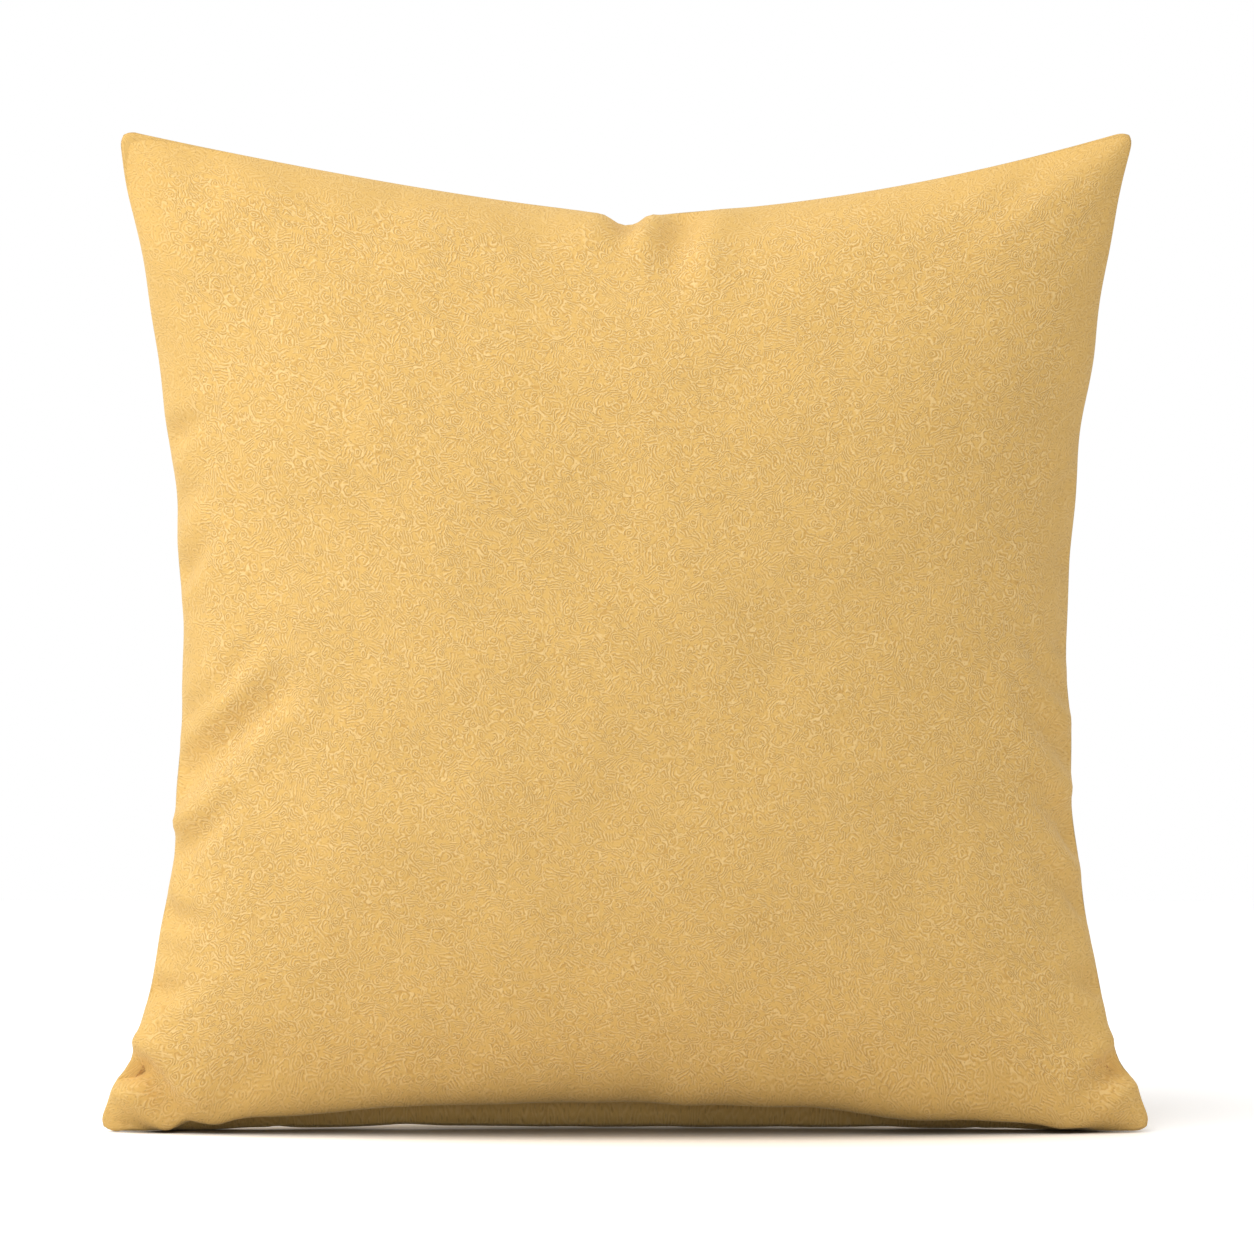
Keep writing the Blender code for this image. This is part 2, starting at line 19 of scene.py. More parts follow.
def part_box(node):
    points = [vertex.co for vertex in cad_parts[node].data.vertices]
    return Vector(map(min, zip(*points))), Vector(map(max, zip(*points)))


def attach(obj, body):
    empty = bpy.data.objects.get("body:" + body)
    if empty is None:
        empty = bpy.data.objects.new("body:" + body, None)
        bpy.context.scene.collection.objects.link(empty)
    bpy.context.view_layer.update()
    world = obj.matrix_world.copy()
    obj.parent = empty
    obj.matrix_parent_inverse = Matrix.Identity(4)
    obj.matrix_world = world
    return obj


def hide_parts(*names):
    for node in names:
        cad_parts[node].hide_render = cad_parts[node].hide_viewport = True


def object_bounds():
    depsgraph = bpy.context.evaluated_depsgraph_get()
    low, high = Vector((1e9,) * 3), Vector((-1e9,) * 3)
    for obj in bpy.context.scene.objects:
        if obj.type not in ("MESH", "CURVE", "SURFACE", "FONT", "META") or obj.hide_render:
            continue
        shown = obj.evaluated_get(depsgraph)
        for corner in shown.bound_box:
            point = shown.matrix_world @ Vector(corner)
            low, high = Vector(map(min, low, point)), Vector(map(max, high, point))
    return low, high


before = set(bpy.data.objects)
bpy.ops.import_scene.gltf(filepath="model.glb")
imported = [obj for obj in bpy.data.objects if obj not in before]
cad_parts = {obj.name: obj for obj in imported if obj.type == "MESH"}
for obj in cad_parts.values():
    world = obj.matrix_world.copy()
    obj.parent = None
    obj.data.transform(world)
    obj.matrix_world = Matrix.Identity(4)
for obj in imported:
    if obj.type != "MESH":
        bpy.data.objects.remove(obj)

CAD_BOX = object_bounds()

bl_info = {
    "name": "Throw pillow",
    "version": (1, 0, 0),
    "blender": (4, 5, 0),
    "location": "View3D > Sidebar > Pillow",
    "description": "Builds a zipped throw pillow with its cover, zip, seams and inner pad",
    "category": "Add Mesh",
}

MM = 0.001
FRONT, BACK = 0, 1

# Which way along Y each panel faces
OUTWARD = (-1, 1)

# Where the back panel lies on the cloth's map, beside the front one
BACK_SHIFT = 0.6

# The zip's place and the slider's, taken from the frame
CHAIN_LOW, CHAIN_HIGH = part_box("zip_teeth_front")
LEFT_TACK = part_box("zip_end_tack_left")
RIGHT_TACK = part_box("zip_end_tack_right")
CLEARANCE = 0.3 * MM
EDGE_HEIGHT = LEFT_TACK[1].z + CLEARANCE
ZIP_HALF = RIGHT_TACK[1].x + CLEARANCE
FRAME_WIDTH = CAD_BOX[1].x - CAD_BOX[0].x
FRAME_HEIGHT = CAD_BOX[1].z - CAD_BOX[0].z
FRAME_DEPTH = CAD_BOX[1].y - CAD_BOX[0].y

# The net of lines: cells along each side, and how far they crowd towards the edges
NET_CELLS = 100
EDGE_CROWDING = 0.45

# How the edges curve between the corners
UPPER_CURVE, LOWER_CURVE = 1.55, 2.8
TOP_CURVE_LEFT, TOP_CURVE_RIGHT = 1.3, 1.8
NOTCH_PLACE, NOTCH_HALF_WIDTH, NOTCH_FADE = 0.001, 0.0085, 14
EAR_TOP, EAR_RISE = 0.029, 0.009
EAR_REST = 0.018
EDGE_WAVE, SHORT_WAVE, LONG_WAVE = 0.45 * MM, 0.0081, 0.0127

# Swell of the relaxed start shape of each panel
SWELL_CURVE, SWELL_FULLNESS, SWELL_SHARE = 2.4, 0.62, 0.92

# Steps that the cloth simulation runs for
SIMULATION_FRAMES = 12

# Half gaps between the panels: sewn shut, and at the zip's slit
SEAM_HALF_GAP = 0.45 * MM
SLIT_HALF_GAP = 1.0 * MM

# How far the panels hang down along the lower edge
MIDDLE_DROP, RIGHT_DROP, LEFT_DROP, BACK_DROP = 3.5 * MM, 12.0 * MM, 9.5 * MM, 16.5 * MM

# Where along X the hanging parts begin and end: (place, length of the change)
RIGHT_RISE, RIGHT_FALL = (0.030, 0.130), (0.205, 0.050)
LEFT_RISE, LEFT_FALL = (-0.205, 0.020), (-0.150, 0.085)
HANG_END = (0.208, 0.030)

# How high over the edge the panels hang most, how far that reaches, front and back, and the fade inwards
HANG_HEIGHT, HANG_REACH, HANG_FADE = 6 * MM, (12 * MM, 16 * MM), 8 * MM

# The lowest that the cover's cloth reaches
LOWEST = 0.3 * MM

# The folded hem at the zip, seen as a narrow band under the panel
HEM_HEIGHT, HEM_DEPTH = 2.7 * MM, 2.4 * MM
HEM_ROWS = ((2, 0.12), (3, 0.32), (4, 0.56), (5, 0.80))
HEM_FADE = 8 * MM
FRONT_HEM_FALL, FRONT_HEM_RISE = (0.050, 0.045), (-0.125, 0.040)

# Where the inner layers start, in from the cover's edge
PAD_INSET = 16 * MM
FILLING_INSET = 24 * MM

# Folds of the front panel: the route of each as (x, z), its width and its depth
FRONT_FOLDS = (
    (((-0.187, 0.168), (-0.166, 0.185), (-0.149, 0.206)), 0.0036, 0.0024),
    (((-0.190, 0.117), (-0.172, 0.126), (-0.160, 0.140)), 0.0036, 0.0022),
    (((-0.186, 0.262), (-0.174, 0.268)), 0.0034, 0.0018),
    (((0.188, 0.176), (0.174, 0.190), (0.160, 0.210)), 0.0036, 0.0026),
    (((0.197, 0.088), (0.184, 0.103), (0.171, 0.112)), 0.0036, 0.0028),
    (((0.186, 0.270), (0.175, 0.262)), 0.0034, 0.0018),
    (((0.001, 0.382), (0.002, 0.368)), 0.0046, 0.0042),
    (((0.0265, 0.387), (0.0195, 0.368), (0.0208, 0.352)), 0.0062, 0.0030),
    (((-0.190, 0.226), (-0.180, 0.236), (-0.170, 0.247)), 0.0040, 0.0030),
    (((-0.190, 0.146), (-0.163, 0.166), (-0.138, 0.187)), 0.0060, 0.0046),
    (((-0.192, 0.133), (-0.172, 0.147), (-0.158, 0.157)), 0.0042, 0.0029),
    (((-0.186, 0.290), (-0.170, 0.297)), 0.0040, 0.0023),
    (((-0.197, 0.098), (-0.187, 0.091), (-0.172, 0.088)), 0.0040, 0.0027),
    (((-0.204, 0.062), (-0.190, 0.059), (-0.178, 0.062)), 0.0040, 0.0025),
    (((-0.210, 0.0275), (-0.199, 0.0265), (-0.190, 0.016), (-0.178, 0.009)), 0.0050, 0.0044),
    (((0.189, 0.241), (0.173, 0.236)), 0.0040, 0.0023),
    (((0.188, 0.199), (0.170, 0.206)), 0.0040, 0.0023),
    (((0.190, 0.152), (0.176, 0.166), (0.162, 0.183)), 0.0050, 0.0034),
    (((0.194, 0.114), (0.182, 0.130), (0.168, 0.144)), 0.0050, 0.0034),
    (((0.201, 0.060), (0.184, 0.067)), 0.0042, 0.0027),
    (((0.214, 0.031), (0.203, 0.028), (0.190, 0.018)), 0.0050, 0.0042),
)

# Puffs of the front panel beside its folds: the centre as (x, z), the radius and the height
FRONT_PUFFS = (
    ((0.0075, 0.3690), 0.0070, 0.0026),
    ((0.0335, 0.3570), 0.0100, 0.0023),
    ((-0.0140, 0.3720), 0.0090, 0.0016),
    ((-0.1960, 0.0385), 0.0110, 0.0023),
    ((-0.2060, 0.0170), 0.0080, 0.0021),
    ((0.2050, 0.0190), 0.0080, 0.0021),
    ((0.1960, 0.0400), 0.0110, 0.0016),
)

BACK_FOLDS = (
    (((0.188, 0.226), (0.170, 0.240)), 0.0045, 0.0022),
    (((0.190, 0.140), (0.165, 0.158), (0.145, 0.178)), 0.0055, 0.0029),
    (((0.210, 0.0275), (0.199, 0.0265), (0.188, 0.014)), 0.0045, 0.0028),
    (((-0.189, 0.170), (-0.172, 0.182)), 0.0045, 0.0022),
    (((-0.192, 0.110), (-0.176, 0.122), (-0.160, 0.128)), 0.0050, 0.0026),
    (((-0.210, 0.031), (-0.200, 0.028), (-0.188, 0.017)), 0.0045, 0.0028),
    (((0.001, 0.382), (0.002, 0.368)), 0.0046, 0.0036),
)
BACK_PUFFS = (
    ((0.2000, 0.0380), 0.0075, 0.0013),
    ((-0.0100, 0.3680), 0.0090, 0.0011),
)

soft_shape = {}
made_materials = {}


def smooth_step(value):
    value = np.clip(value, 0.0, 1.0)
    return value * value * (3 - 2 * value)


def rise(value, start, length):
    """0 up to start, 1 from start + length on, smooth between."""
    return smooth_step((value - start) / length)


def fall(value, end, length):
    """1 up to end - length, 0 from end on, smooth between."""
    return smooth_step((end - value) / length)


# --- Settings -------------------------------------------------------------------------------------------


class PillowShape(bpy.types.PropertyGroup):
    """Sizes of the filled pillow."""

    bottom_width: FloatProperty(
        name="Bottom width", description="Width across the lower corners", default=FRAME_WIDTH, unit="LENGTH"
    )
    top_width: FloatProperty(
        name="Top width", description="Width across the upper corners", default=0.4245, unit="LENGTH"
    )
    height: FloatProperty(
        name="Height", description="Height of the upper corners", default=FRAME_HEIGHT, unit="LENGTH"
    )
    depth: FloatProperty(
        name="Depth", description="Thickness at the crown", default=FRAME_DEPTH - 2 * MM, unit="LENGTH"
    )
    side_pull: FloatProperty(
        name="Side pull", description="How far each side is drawn in", default=0.0304, unit="LENGTH"
    )
    top_pull: FloatProperty(
        name="Top pull", description="How far the upper edge is drawn in", default=0.0355, unit="LENGTH"
    )
    notch: FloatProperty(
        name="Notch", description="Depth of the tuck in the upper edge", default=0.0060, unit="LENGTH"
    )
    ear_bulge: FloatProperty(
        name="Ear bulge", description="How far the lower corners stand out", default=0.0034, unit="LENGTH"
    )
    corner_radius: FloatProperty(
        name="Corner radius", description="Radius of the corner tips", default=0.0075, unit="LENGTH"
    )
    panel_cut: FloatProperty(
        name="Panel cut", description="Side of each square panel before filling", default=0.450, unit="LENGTH"
    )
    fold_strength: FloatProperty(
        name="Fold strength", description="Depth of the folds and puckers", default=1.6, min=0, max=2
    )


class CoverFinish(bpy.types.PropertyGroup):
    """Cloth and colours of the cover."""

    cloth: FloatProperty(
        name="Cloth", description="Thickness of the cover cloth", default=1.0 * MM, unit="LENGTH"
    )
    allowance: FloatProperty(
        name="Seam allowance", description="Cloth turned in at the seams", default=10 * MM, unit="LENGTH"
    )
    stitch: FloatProperty(
        name="Stitch", description="Length of one seam stitch", default=3.0 * MM, unit="LENGTH"
    )
    ridge_pitch: FloatProperty(
        name="Ridge pitch", description="Distance between embossed ridges, in mm", default=1.3
    )
    colour: FloatVectorProperty(
        name="Colour", description="Colour of the cloth", subtype="COLOR", size=3,
        default=(0.745, 0.470, 0.146),
    )
    # Painted highlight: a lighter colour laid on the embossed ridges, standing in for the light they catch
    ridge_highlight_colour: FloatVectorProperty(
        name="Ridges", description="Colour of the embossed ridges", subtype="COLOR", size=3,
        default=(0.91, 0.66, 0.31),
    )
    # Painted shade: a darker colour laid beside the ridges, standing in for the shade in the grooves
    groove_shade_colour: FloatVectorProperty(
        name="Grooves", description="Colour beside the ridges", subtype="COLOR", size=3,
        default=(0.52, 0.275, 0.070),
    )
    thread_colour: FloatVectorProperty(
        name="Thread", description="Colour of the sewing thread", subtype="COLOR", size=3,
        default=(0.55, 0.29, 0.08),
    )


class ZipFinish(bpy.types.PropertyGroup):
    """Zip sizes and colours."""

    tooth_pitch: FloatProperty(
        name="Tooth pitch", description="Distance between teeth of one row", default=2.0 * MM, unit="LENGTH"
    )
    tooth_colour: FloatVectorProperty(
        name="Teeth", description="Colour of the teeth", subtype="COLOR", size=3, default=(0.48, 0.29, 0.10)
    )
    tape_colour: FloatVectorProperty(
        name="Tape", description="Colour of the tapes", subtype="COLOR", size=3, default=(0.56, 0.33, 0.11)
    )
    metal_colour: FloatVectorProperty(
        name="Metal", description="Colour of the slider", subtype="COLOR", size=3, default=(0.61, 0.43, 0.18)
    )


class PadFinish(bpy.types.PropertyGroup):
    """Inner pad."""

    cloth: FloatProperty(
        name="Cloth", description="Thickness of the pad's case", default=0.5 * MM, unit="LENGTH"
    )
    gap: FloatProperty(
        name="Gap", description="Room between two layers", default=1.5 * MM, unit="LENGTH"
    )
    colour: FloatVectorProperty(
        name="Case", description="Colour of the pad's case", subtype="COLOR", size=3,
        default=(0.82, 0.81, 0.78),
    )
    label_colour: FloatVectorProperty(
        name="Labels", description="Colour of the blank labels", subtype="COLOR", size=3,
        default=(0.86, 0.85, 0.82),
    )


class StageSettings(bpy.types.PropertyGroup):
    """Camera and light."""

    camera_distance: FloatProperty(
        name="Camera distance", description="From the camera to the pillow", default=1.9, unit="LENGTH"
    )
    view_width: FloatProperty(
        name="View width", description="Width that the camera sees at the pillow", default=0.5225,
        unit="LENGTH",
    )
    left_power: FloatProperty(
        name="Left light", description="Power of the softbox at the left", default=11.5, unit="POWER"
    )
    top_power: FloatProperty(
        name="Top light", description="Power of the softbox overhead", default=18.5, unit="POWER"
    )
    front_power: FloatProperty(
        name="Front light", description="Power of the softbox in front", default=8.0, unit="POWER"
    )
    sky: FloatProperty(
        name="Sky", description="Strength of the even light from all round", default=0.64
    )


SETTINGS = {
    "pillow_shape": PillowShape,
    "pillow_cover": CoverFinish,
    "pillow_zip": ZipFinish,
    "pillow_pad": PadFinish,
    "pillow_stage": StageSettings,
}


# --- The net and the outline ----------------------------------------------------------------------------


def net_lines():
    even = np.linspace(-1, 1, NET_CELLS + 1)
    return even + EDGE_CROWDING * np.sin(math.pi * even) / math.pi


LINES = net_lines()
ACROSS, UP = np.meshgrid(LINES, LINES)
ON_BORDER = (np.abs(ACROSS) > 0.9999) | (np.abs(UP) > 0.9999)


def lower_edge(across, shape):
    """Straight along the zip, then down to the ground at each corner."""
    reach = shape.bottom_width / 2 * np.abs(across)
    ear_start = shape.bottom_width / 2 - EAR_REST
    return EDGE_HEIGHT * smooth_step((ear_start - reach) / (ear_start - ZIP_HALF - 4 * MM))


def upper_edge(across, shape):
    curve = np.where(across > 0, TOP_CURVE_RIGHT, TOP_CURVE_LEFT)
    return shape.height - shape.top_pull * (1 - np.abs(across) ** curve)


def half_width(up, shape):
    share = (up + 1) / 2
    straight = (shape.bottom_width * (1 - share) + shape.top_width * share) / 2
    curve = np.where(up > 0, UPPER_CURVE, LOWER_CURVE)
    return straight - shape.side_pull * (1 - np.minimum(np.abs(up), 1) ** curve)


def outline(across, up, shape):
    """(x, z) of points of the net in the plane of the edge."""
    share = (up + 1) / 2
    x = across * half_width(up, shape)
    z = lower_edge(across, shape) * (1 - share) + upper_edge(across, shape) * share
    ear = smooth_step((EAR_TOP - z) / EAR_RISE) * np.abs(across) ** 10
    x = x + np.sign(across) * shape.ear_bulge * ear
    wave = np.sin(z / SHORT_WAVE) + np.sin(z / LONG_WAVE + across)
    x = x + EDGE_WAVE * np.abs(across) ** 12 * wave * (z > EAR_TOP)
    dip = np.exp(-(np.abs((x - NOTCH_PLACE) / NOTCH_HALF_WIDTH) ** 1.4))
    z = z - shape.notch * dip * np.clip(share, 0, None) ** NOTCH_FADE
    return x, z


def rounded(across, up, shape):
    """Moves points of the net in from its four corners, so that the corner tips are round."""
    half, tall, radius = shape.bottom_width / 2, shape.height / 2, shape.corner_radius
    from_side = np.clip(radius - (1 - np.abs(across)) * half, 0, None)
    from_end = np.clip(radius - (1 - np.abs(up)) * tall, 0, None)
    length = np.hypot(from_side, from_end)
    share = np.maximum(from_side, from_end) / np.where(length > 0, length, 1)
    share = np.where((from_side > 0) & (from_end > 0), share, 1)
    across = np.sign(across) * (np.abs(across) - from_side * (1 - share) / half)
    up = np.sign(up) * (np.abs(up) - from_end * (1 - share) / tall)
    return across, up


def edge_place(across, up, inset, shape):
    """(x, z) of a point of the border, moved in from the edge by inset."""
    across, up = rounded(across, up, shape)
    span = upper_edge(across, shape) - lower_edge(across, shape)
    shrunk_across = across * (1 - inset / half_width(up, shape))
    return outline(shrunk_across, up * (1 - 2 * inset / span), shape)


def border_route(start, end):
    """Places on the border, from the lower edge at start round the left, upper and right edges to end."""
    route = [(line, -1.0) for line in LINES[::-1] if line < start]
    route += [(-1.0, line) for line in LINES[1:]]
    route += [(line, 1.0) for line in LINES[1:]]
    route += [(1.0, line) for line in LINES[::-1][1:]]
    route += [(line, -1.0) for line in LINES[::-1][1:] if line > end]
    return np.array(route)


# --- The soft shape of the cover ------------------------------------------------------------------------


def swell(share):
    return np.clip(1 - np.abs(share) ** SWELL_CURVE, 0, None) ** SWELL_FULLNESS


def start_shape(side, shape):
    """The panel as a plain crowned form, which the simulation starts from."""
    across, up = rounded(ACROSS, UP, shape)
    x, z = outline(across, up, shape)
    crown = SWELL_SHARE * shape.depth / 2 * swell(across) * swell(up)
    y = np.where(ON_BORDER, 0, OUTWARD[side] * crown)
    return np.stack([x, y, z], axis=2)


def closed_net():
    """Two nets of cells sewn together round their border, with each vertex's row, column and side."""
    bm = bmesh.new()
    bmesh.ops.create_grid(bm, x_segments=NET_CELLS, y_segments=NET_CELLS, size=1)
    row, column, side = (bm.verts.layers.int.new(name) for name in ("row", "column", "side"))
    for vert in bm.verts:
        vert[column] = round((vert.co.x + 1) / 2 * NET_CELLS)
        vert[row] = round((vert.co.y + 1) / 2 * NET_CELLS)
    copy = bmesh.ops.duplicate(bm, geom=bm.verts[:] + bm.edges[:] + bm.faces[:])["geom"]
    bmesh.ops.reverse_faces(bm, faces=[piece for piece in copy if isinstance(piece, bmesh.types.BMFace)])
    for vert in [piece for piece in copy if isinstance(piece, bmesh.types.BMVert)]:
        vert[side] = BACK
        if not vert.is_boundary:
            vert.co.z = 1
    bmesh.ops.remove_doubles(bm, verts=bm.verts, dist=1e-5)
    mesh = bpy.data.meshes.new("closed_net")
    bm.to_mesh(mesh)
    bm.free()
    return mesh


def whole_numbers(mesh, name):
    values = np.zeros(len(mesh.vertices), np.int32)
    mesh.attributes[name].data.foreach_get("value", values)
    return values


def inflate(shape):
    """Fills the two sewn panels by cloth simulation. The panels are cut larger than the drawn-in outline."""
    mesh = closed_net()
    row, column, side = (whole_numbers(mesh, name) for name in ("row", "column", "side"))
    both = np.stack([start_shape(FRONT, shape), start_shape(BACK, shape)])
    start = both[side, row, column]
    flat_across, flat_up = rounded(LINES[column], LINES[row], shape)
    border = ON_BORDER[row, column]
    flat = np.zeros_like(start)
    flat[:, 0] = flat_across * shape.panel_cut / 2
    flat[:, 1] = np.where(border, 0, np.where(side == BACK, 2 * MM, -2 * MM))
    flat[:, 2] = flat_up * shape.panel_cut / 2 + shape.height / 2
    mesh.vertices.foreach_set("co", start.astype(np.float32).ravel())
    balloon = bpy.data.objects.new("inflating", mesh)
    bpy.context.scene.collection.objects.link(balloon)
    balloon.shape_key_add(name="start")
    cut = balloon.shape_key_add(name="cut")
    cut.data.foreach_set("co", flat.astype(np.float32).ravel())
    cut.value = 0
    seam = balloon.vertex_groups.new(name="seam")
    seam.add([int(number) for number in np.flatnonzero(border)], 1.0, "REPLACE")
    cloth = balloon.modifiers.new("filling", "CLOTH")
    soften(cloth.settings, cut)
    cloth.point_cache.frame_start, cloth.point_cache.frame_end = 1, SIMULATION_FRAMES
    for number in range(1, SIMULATION_FRAMES + 1):
        bpy.context.scene.frame_set(number)
    filled = balloon.evaluated_get(bpy.context.evaluated_depsgraph_get()).to_mesh()
    places = np.zeros(len(mesh.vertices) * 3)
    filled.vertices.foreach_get("co", places)
    both[side, row, column] = places.reshape(-1, 3)
    both[1 - side[border], row[border], column[border]] = places.reshape(-1, 3)[border]
    bpy.context.scene.frame_set(1)
    bpy.data.objects.remove(balloon)
    return both


def soften(cloth, cut):
    """A light, firm cloth under air pressure, with its rest size taken from the cut panels."""
    cloth.quality = 6
    cloth.mass = 0.02
    cloth.air_damping = 0
    cloth.use_pressure = True
    cloth.uniform_pressure_force = 40
    cloth.effector_weights.gravity = 0
    cloth.vertex_group_mass = "seam"
    cloth.tension_stiffness = cloth.compression_stiffness = 30
    cloth.shear_stiffness = 9
    cloth.bending_stiffness = 0.05
    cloth.tension_damping = cloth.compression_damping = cloth.shear_damping = 0.2
    cloth.bending_damping = 0.02
    cloth.rest_shape_key = cut


def normals_of(points, side):
    along = np.gradient(points, axis=1)
    up = np.gradient(points, axis=0)
    normals = np.cross(along, up)
    normals /= np.maximum(np.linalg.norm(normals, axis=2, keepdims=True), 1e-12)
    return -normals if side == BACK else normals


def distance_to_route(x, z, route):
    """Distance from each point to a route of straight steps, and how far along the route it lies, 0 to 1."""
    route = np.array(route)
    lengths = np.linalg.norm(np.diff(route, axis=0), axis=1)
    nearest = np.full(x.shape, np.inf)
    along = np.zeros(x.shape)
    for number, (start, end) in enumerate(zip(route[:-1], route[1:])):
        step = end - start
        share = ((x - start[0]) * step[0] + (z - start[1]) * step[1]) / lengths[number] ** 2
        share = np.clip(share, 0, 1)
        gap = np.hypot(x - start[0] - share * step[0], z - start[1] - share * step[1])
        closer = gap < nearest
        nearest = np.where(closer, gap, nearest)
        place = (lengths[:number].sum() + share * lengths[number]) / lengths.sum()
        along = np.where(closer, place, along)
    return nearest, along


def fold_depths(x, z, folds, puffs):
    """Height over the smooth surface: folds pressed in, with a low swell beside each, and puffs."""
    height = np.zeros(x.shape)
    for route, width, depth in folds:
        gap, along = distance_to_route(x, z, route)
        fade = 1 - 0.75 * along**2
        pressed = np.exp(-((gap / width) ** 2))
        beside = np.exp(-(((gap - 2.1 * width) / (0.9 * width)) ** 2))
        height += depth * fade * (0.45 * beside - pressed)
    for (across, up), radius, tall in puffs:
        height += tall * np.exp(-((x - across) ** 2 + (z - up) ** 2) / radius**2)
    return height


def edge_puckers(seed):
    """Small uneven gathers along the seam, fading towards the middle of the panel."""
    draw = np.random.default_rng(seed)
    in_from_edge = np.minimum(1 - np.abs(ACROSS), 1 - np.abs(UP)) * FRAME_WIDTH / 2
    round_edge = np.arctan2(UP, ACROSS) * FRAME_WIDTH / 2
    gathers = np.zeros(ACROSS.shape)
    for _ in range(9):
        length = draw.uniform(0.014, 0.045)
        lean = draw.uniform(-0.8, 0.8)
        strength = 0.5 + 0.5 * np.sin(round_edge / draw.uniform(0.05, 0.12) + draw.uniform(0, 6.28))
        wave = np.sin((round_edge + lean * in_from_edge) * 2 * math.pi / length + draw.uniform(0, 6.28))
        gathers += wave * strength * length / 0.03
    fade = (in_from_edge / 0.010) * np.exp(1 - in_from_edge / 0.010)
    return 0.16 * MM * gathers * fade


def slow_waves(x, z, seed):
    """The uneven feel of fibre filling under the cloth."""
    draw = np.random.default_rng(seed)
    height = np.zeros(x.shape)
    for _ in range(14):
        turn, length = draw.uniform(0, math.pi), draw.uniform(0.035, 0.11)
        run = (x * math.cos(turn) + z * math.sin(turn)) * 2 * math.pi / length
        height += np.sin(run + draw.uniform(0, 6.28)) * length / 0.08
    return 0.14 * MM * height


def sculpt(points, side, shape):
    """Puts folds, puffs, gathers and the sagging lower edge on one panel."""
    x, z = points[:, :, 0], points[:, :, 2]
    folds, puffs = (FRONT_FOLDS, FRONT_PUFFS) if side == FRONT else (BACK_FOLDS, BACK_PUFFS)
    height = fold_depths(x, z, folds, puffs) + edge_puckers(11 + side) + slow_waves(x, z, 31 + side)
    height = np.where(ON_BORDER, 0, height) * shape.fold_strength
    made = points + normals_of(points, side) * height[:, :, None]
    drop_belly(made, side)
    fold_over_hem(made, side)
    made[:, :, 2] = np.maximum(made[:, :, 2], LOWEST)
    return made


def drop_belly(made, side):
    """Lets the panels hang below the edge: the front one mostly near its corners, the back one all along."""
    x, z = made[:, :, 0], made[:, :, 2]
    right = rise(x, *RIGHT_RISE) * fall(x, *RIGHT_FALL)
    left = rise(x, *LEFT_RISE) * (1 - rise(x, *LEFT_FALL))
    drop = MIDDLE_DROP + (RIGHT_DROP - MIDDLE_DROP) * right + (LEFT_DROP - MIDDLE_DROP) * left
    if side == BACK:
        drop = BACK_DROP
    drop = drop * fall(np.abs(x), *HANG_END)
    over_edge = z - z[0]
    near_edge = np.exp(-(((over_edge - HANG_HEIGHT) / HANG_REACH[side]) ** 2))
    near_edge = near_edge * smooth_step(np.abs(made[:, :, 1]) / HANG_FADE)
    made[:, :, 2] -= drop * near_edge * (UP < 0)


def fold_over_hem(made, side):
    """Sets the rows of the net at the zip so that the panel falls from a fold just over its hem."""
    before = made.copy()
    for row, share in HEM_ROWS:
        made[row] = before[row - 1] * (1 - share) + before[row] * share
    made[1] = before[0] + np.array((0, OUTWARD[side] * HEM_DEPTH, HEM_HEIGHT))
    x = before[0, :, 0]
    at_zip = fall(np.abs(x), ZIP_HALF, HEM_FADE)
    if side == FRONT:
        at_zip = at_zip * (1 - rise(x, *FRONT_HEM_FALL))
        at_zip = at_zip * rise(x, *FRONT_HEM_RISE)
    made[:] = before + (made - before) * at_zip[None, :, None]


def shape_cover(shape):
    """The outer surface of both panels: filled, then scaled to the pillow's depth, then folded."""
    both = inflate(shape)
    for side in (FRONT, BACK):
        crown = np.abs(both[side, :, :, 1]).max()
        both[side, :, :, 1] *= shape.depth / 2 / crown
        both[side] = sculpt(both[side], side, shape)
        both[side, :, :, 1] += OUTWARD[side] * np.where(ON_BORDER, SEAM_HALF_GAP, 0)
    return both


# --- Mesh helpers ---------------------------------------------------------------------------------------


def set_out(bm, side=None):
    """Turns all faces the same way. side says which panel an open sheet belongs to, so that it faces out."""
    bmesh.ops.recalc_face_normals(bm, faces=bm.faces)
    if side is None:
        return
    facing = sum(face.normal.y * face.calc_area() for face in bm.faces)
    if (facing > 0) != (side == BACK):
        bmesh.ops.reverse_faces(bm, faces=bm.faces)


def grid_sheet(bm, rows, columns, place):
    """A sheet of rows by columns points, each put where place(row, column) says. Returns its vertices."""
    row_of = bm.verts.layers.int.get("row") or bm.verts.layers.int.new("row")
    column_of = bm.verts.layers.int.get("column") or bm.verts.layers.int.new("column")
    made = bmesh.ops.create_grid(bm, x_segments=columns - 1, y_segments=rows - 1, size=1)["verts"]
    for vert in made:
        vert[row_of] = round((vert.co.y + 1) / 2 * (rows - 1))
        vert[column_of] = round((vert.co.x + 1) / 2 * (columns - 1))
    for vert in made:
        vert.co = place(vert[row_of], vert[column_of])
    return made


def bevelled(bm, edges, width, segments=2, **more):
    bmesh.ops.bevel(
        bm, geom=edges, offset=width, segments=segments, profile=0.5, affect="EDGES", material=-1, **more
    )


def grow_border(bm, border):
    """Extrudes the open border. Returns the new border's edges and its vertices."""
    grown = bmesh.ops.extrude_edge_only(bm, edges=border)["geom"]
    edges = [piece for piece in grown if isinstance(piece, bmesh.types.BMEdge)]
    return edges, [piece for piece in grown if isinstance(piece, bmesh.types.BMVert)]


def block(bm, low, high, radius):
    """A box between two corners with its edges rounded."""
    low, high = Vector(low), Vector(high)
    place = Matrix.Translation((low + high) / 2) @ Matrix.Diagonal((*(high - low), 1))
    made = bmesh.ops.create_cube(bm, size=1, matrix=place)["verts"]
    bevelled(bm, list({edge for vert in made for edge in vert.link_edges}), radius)


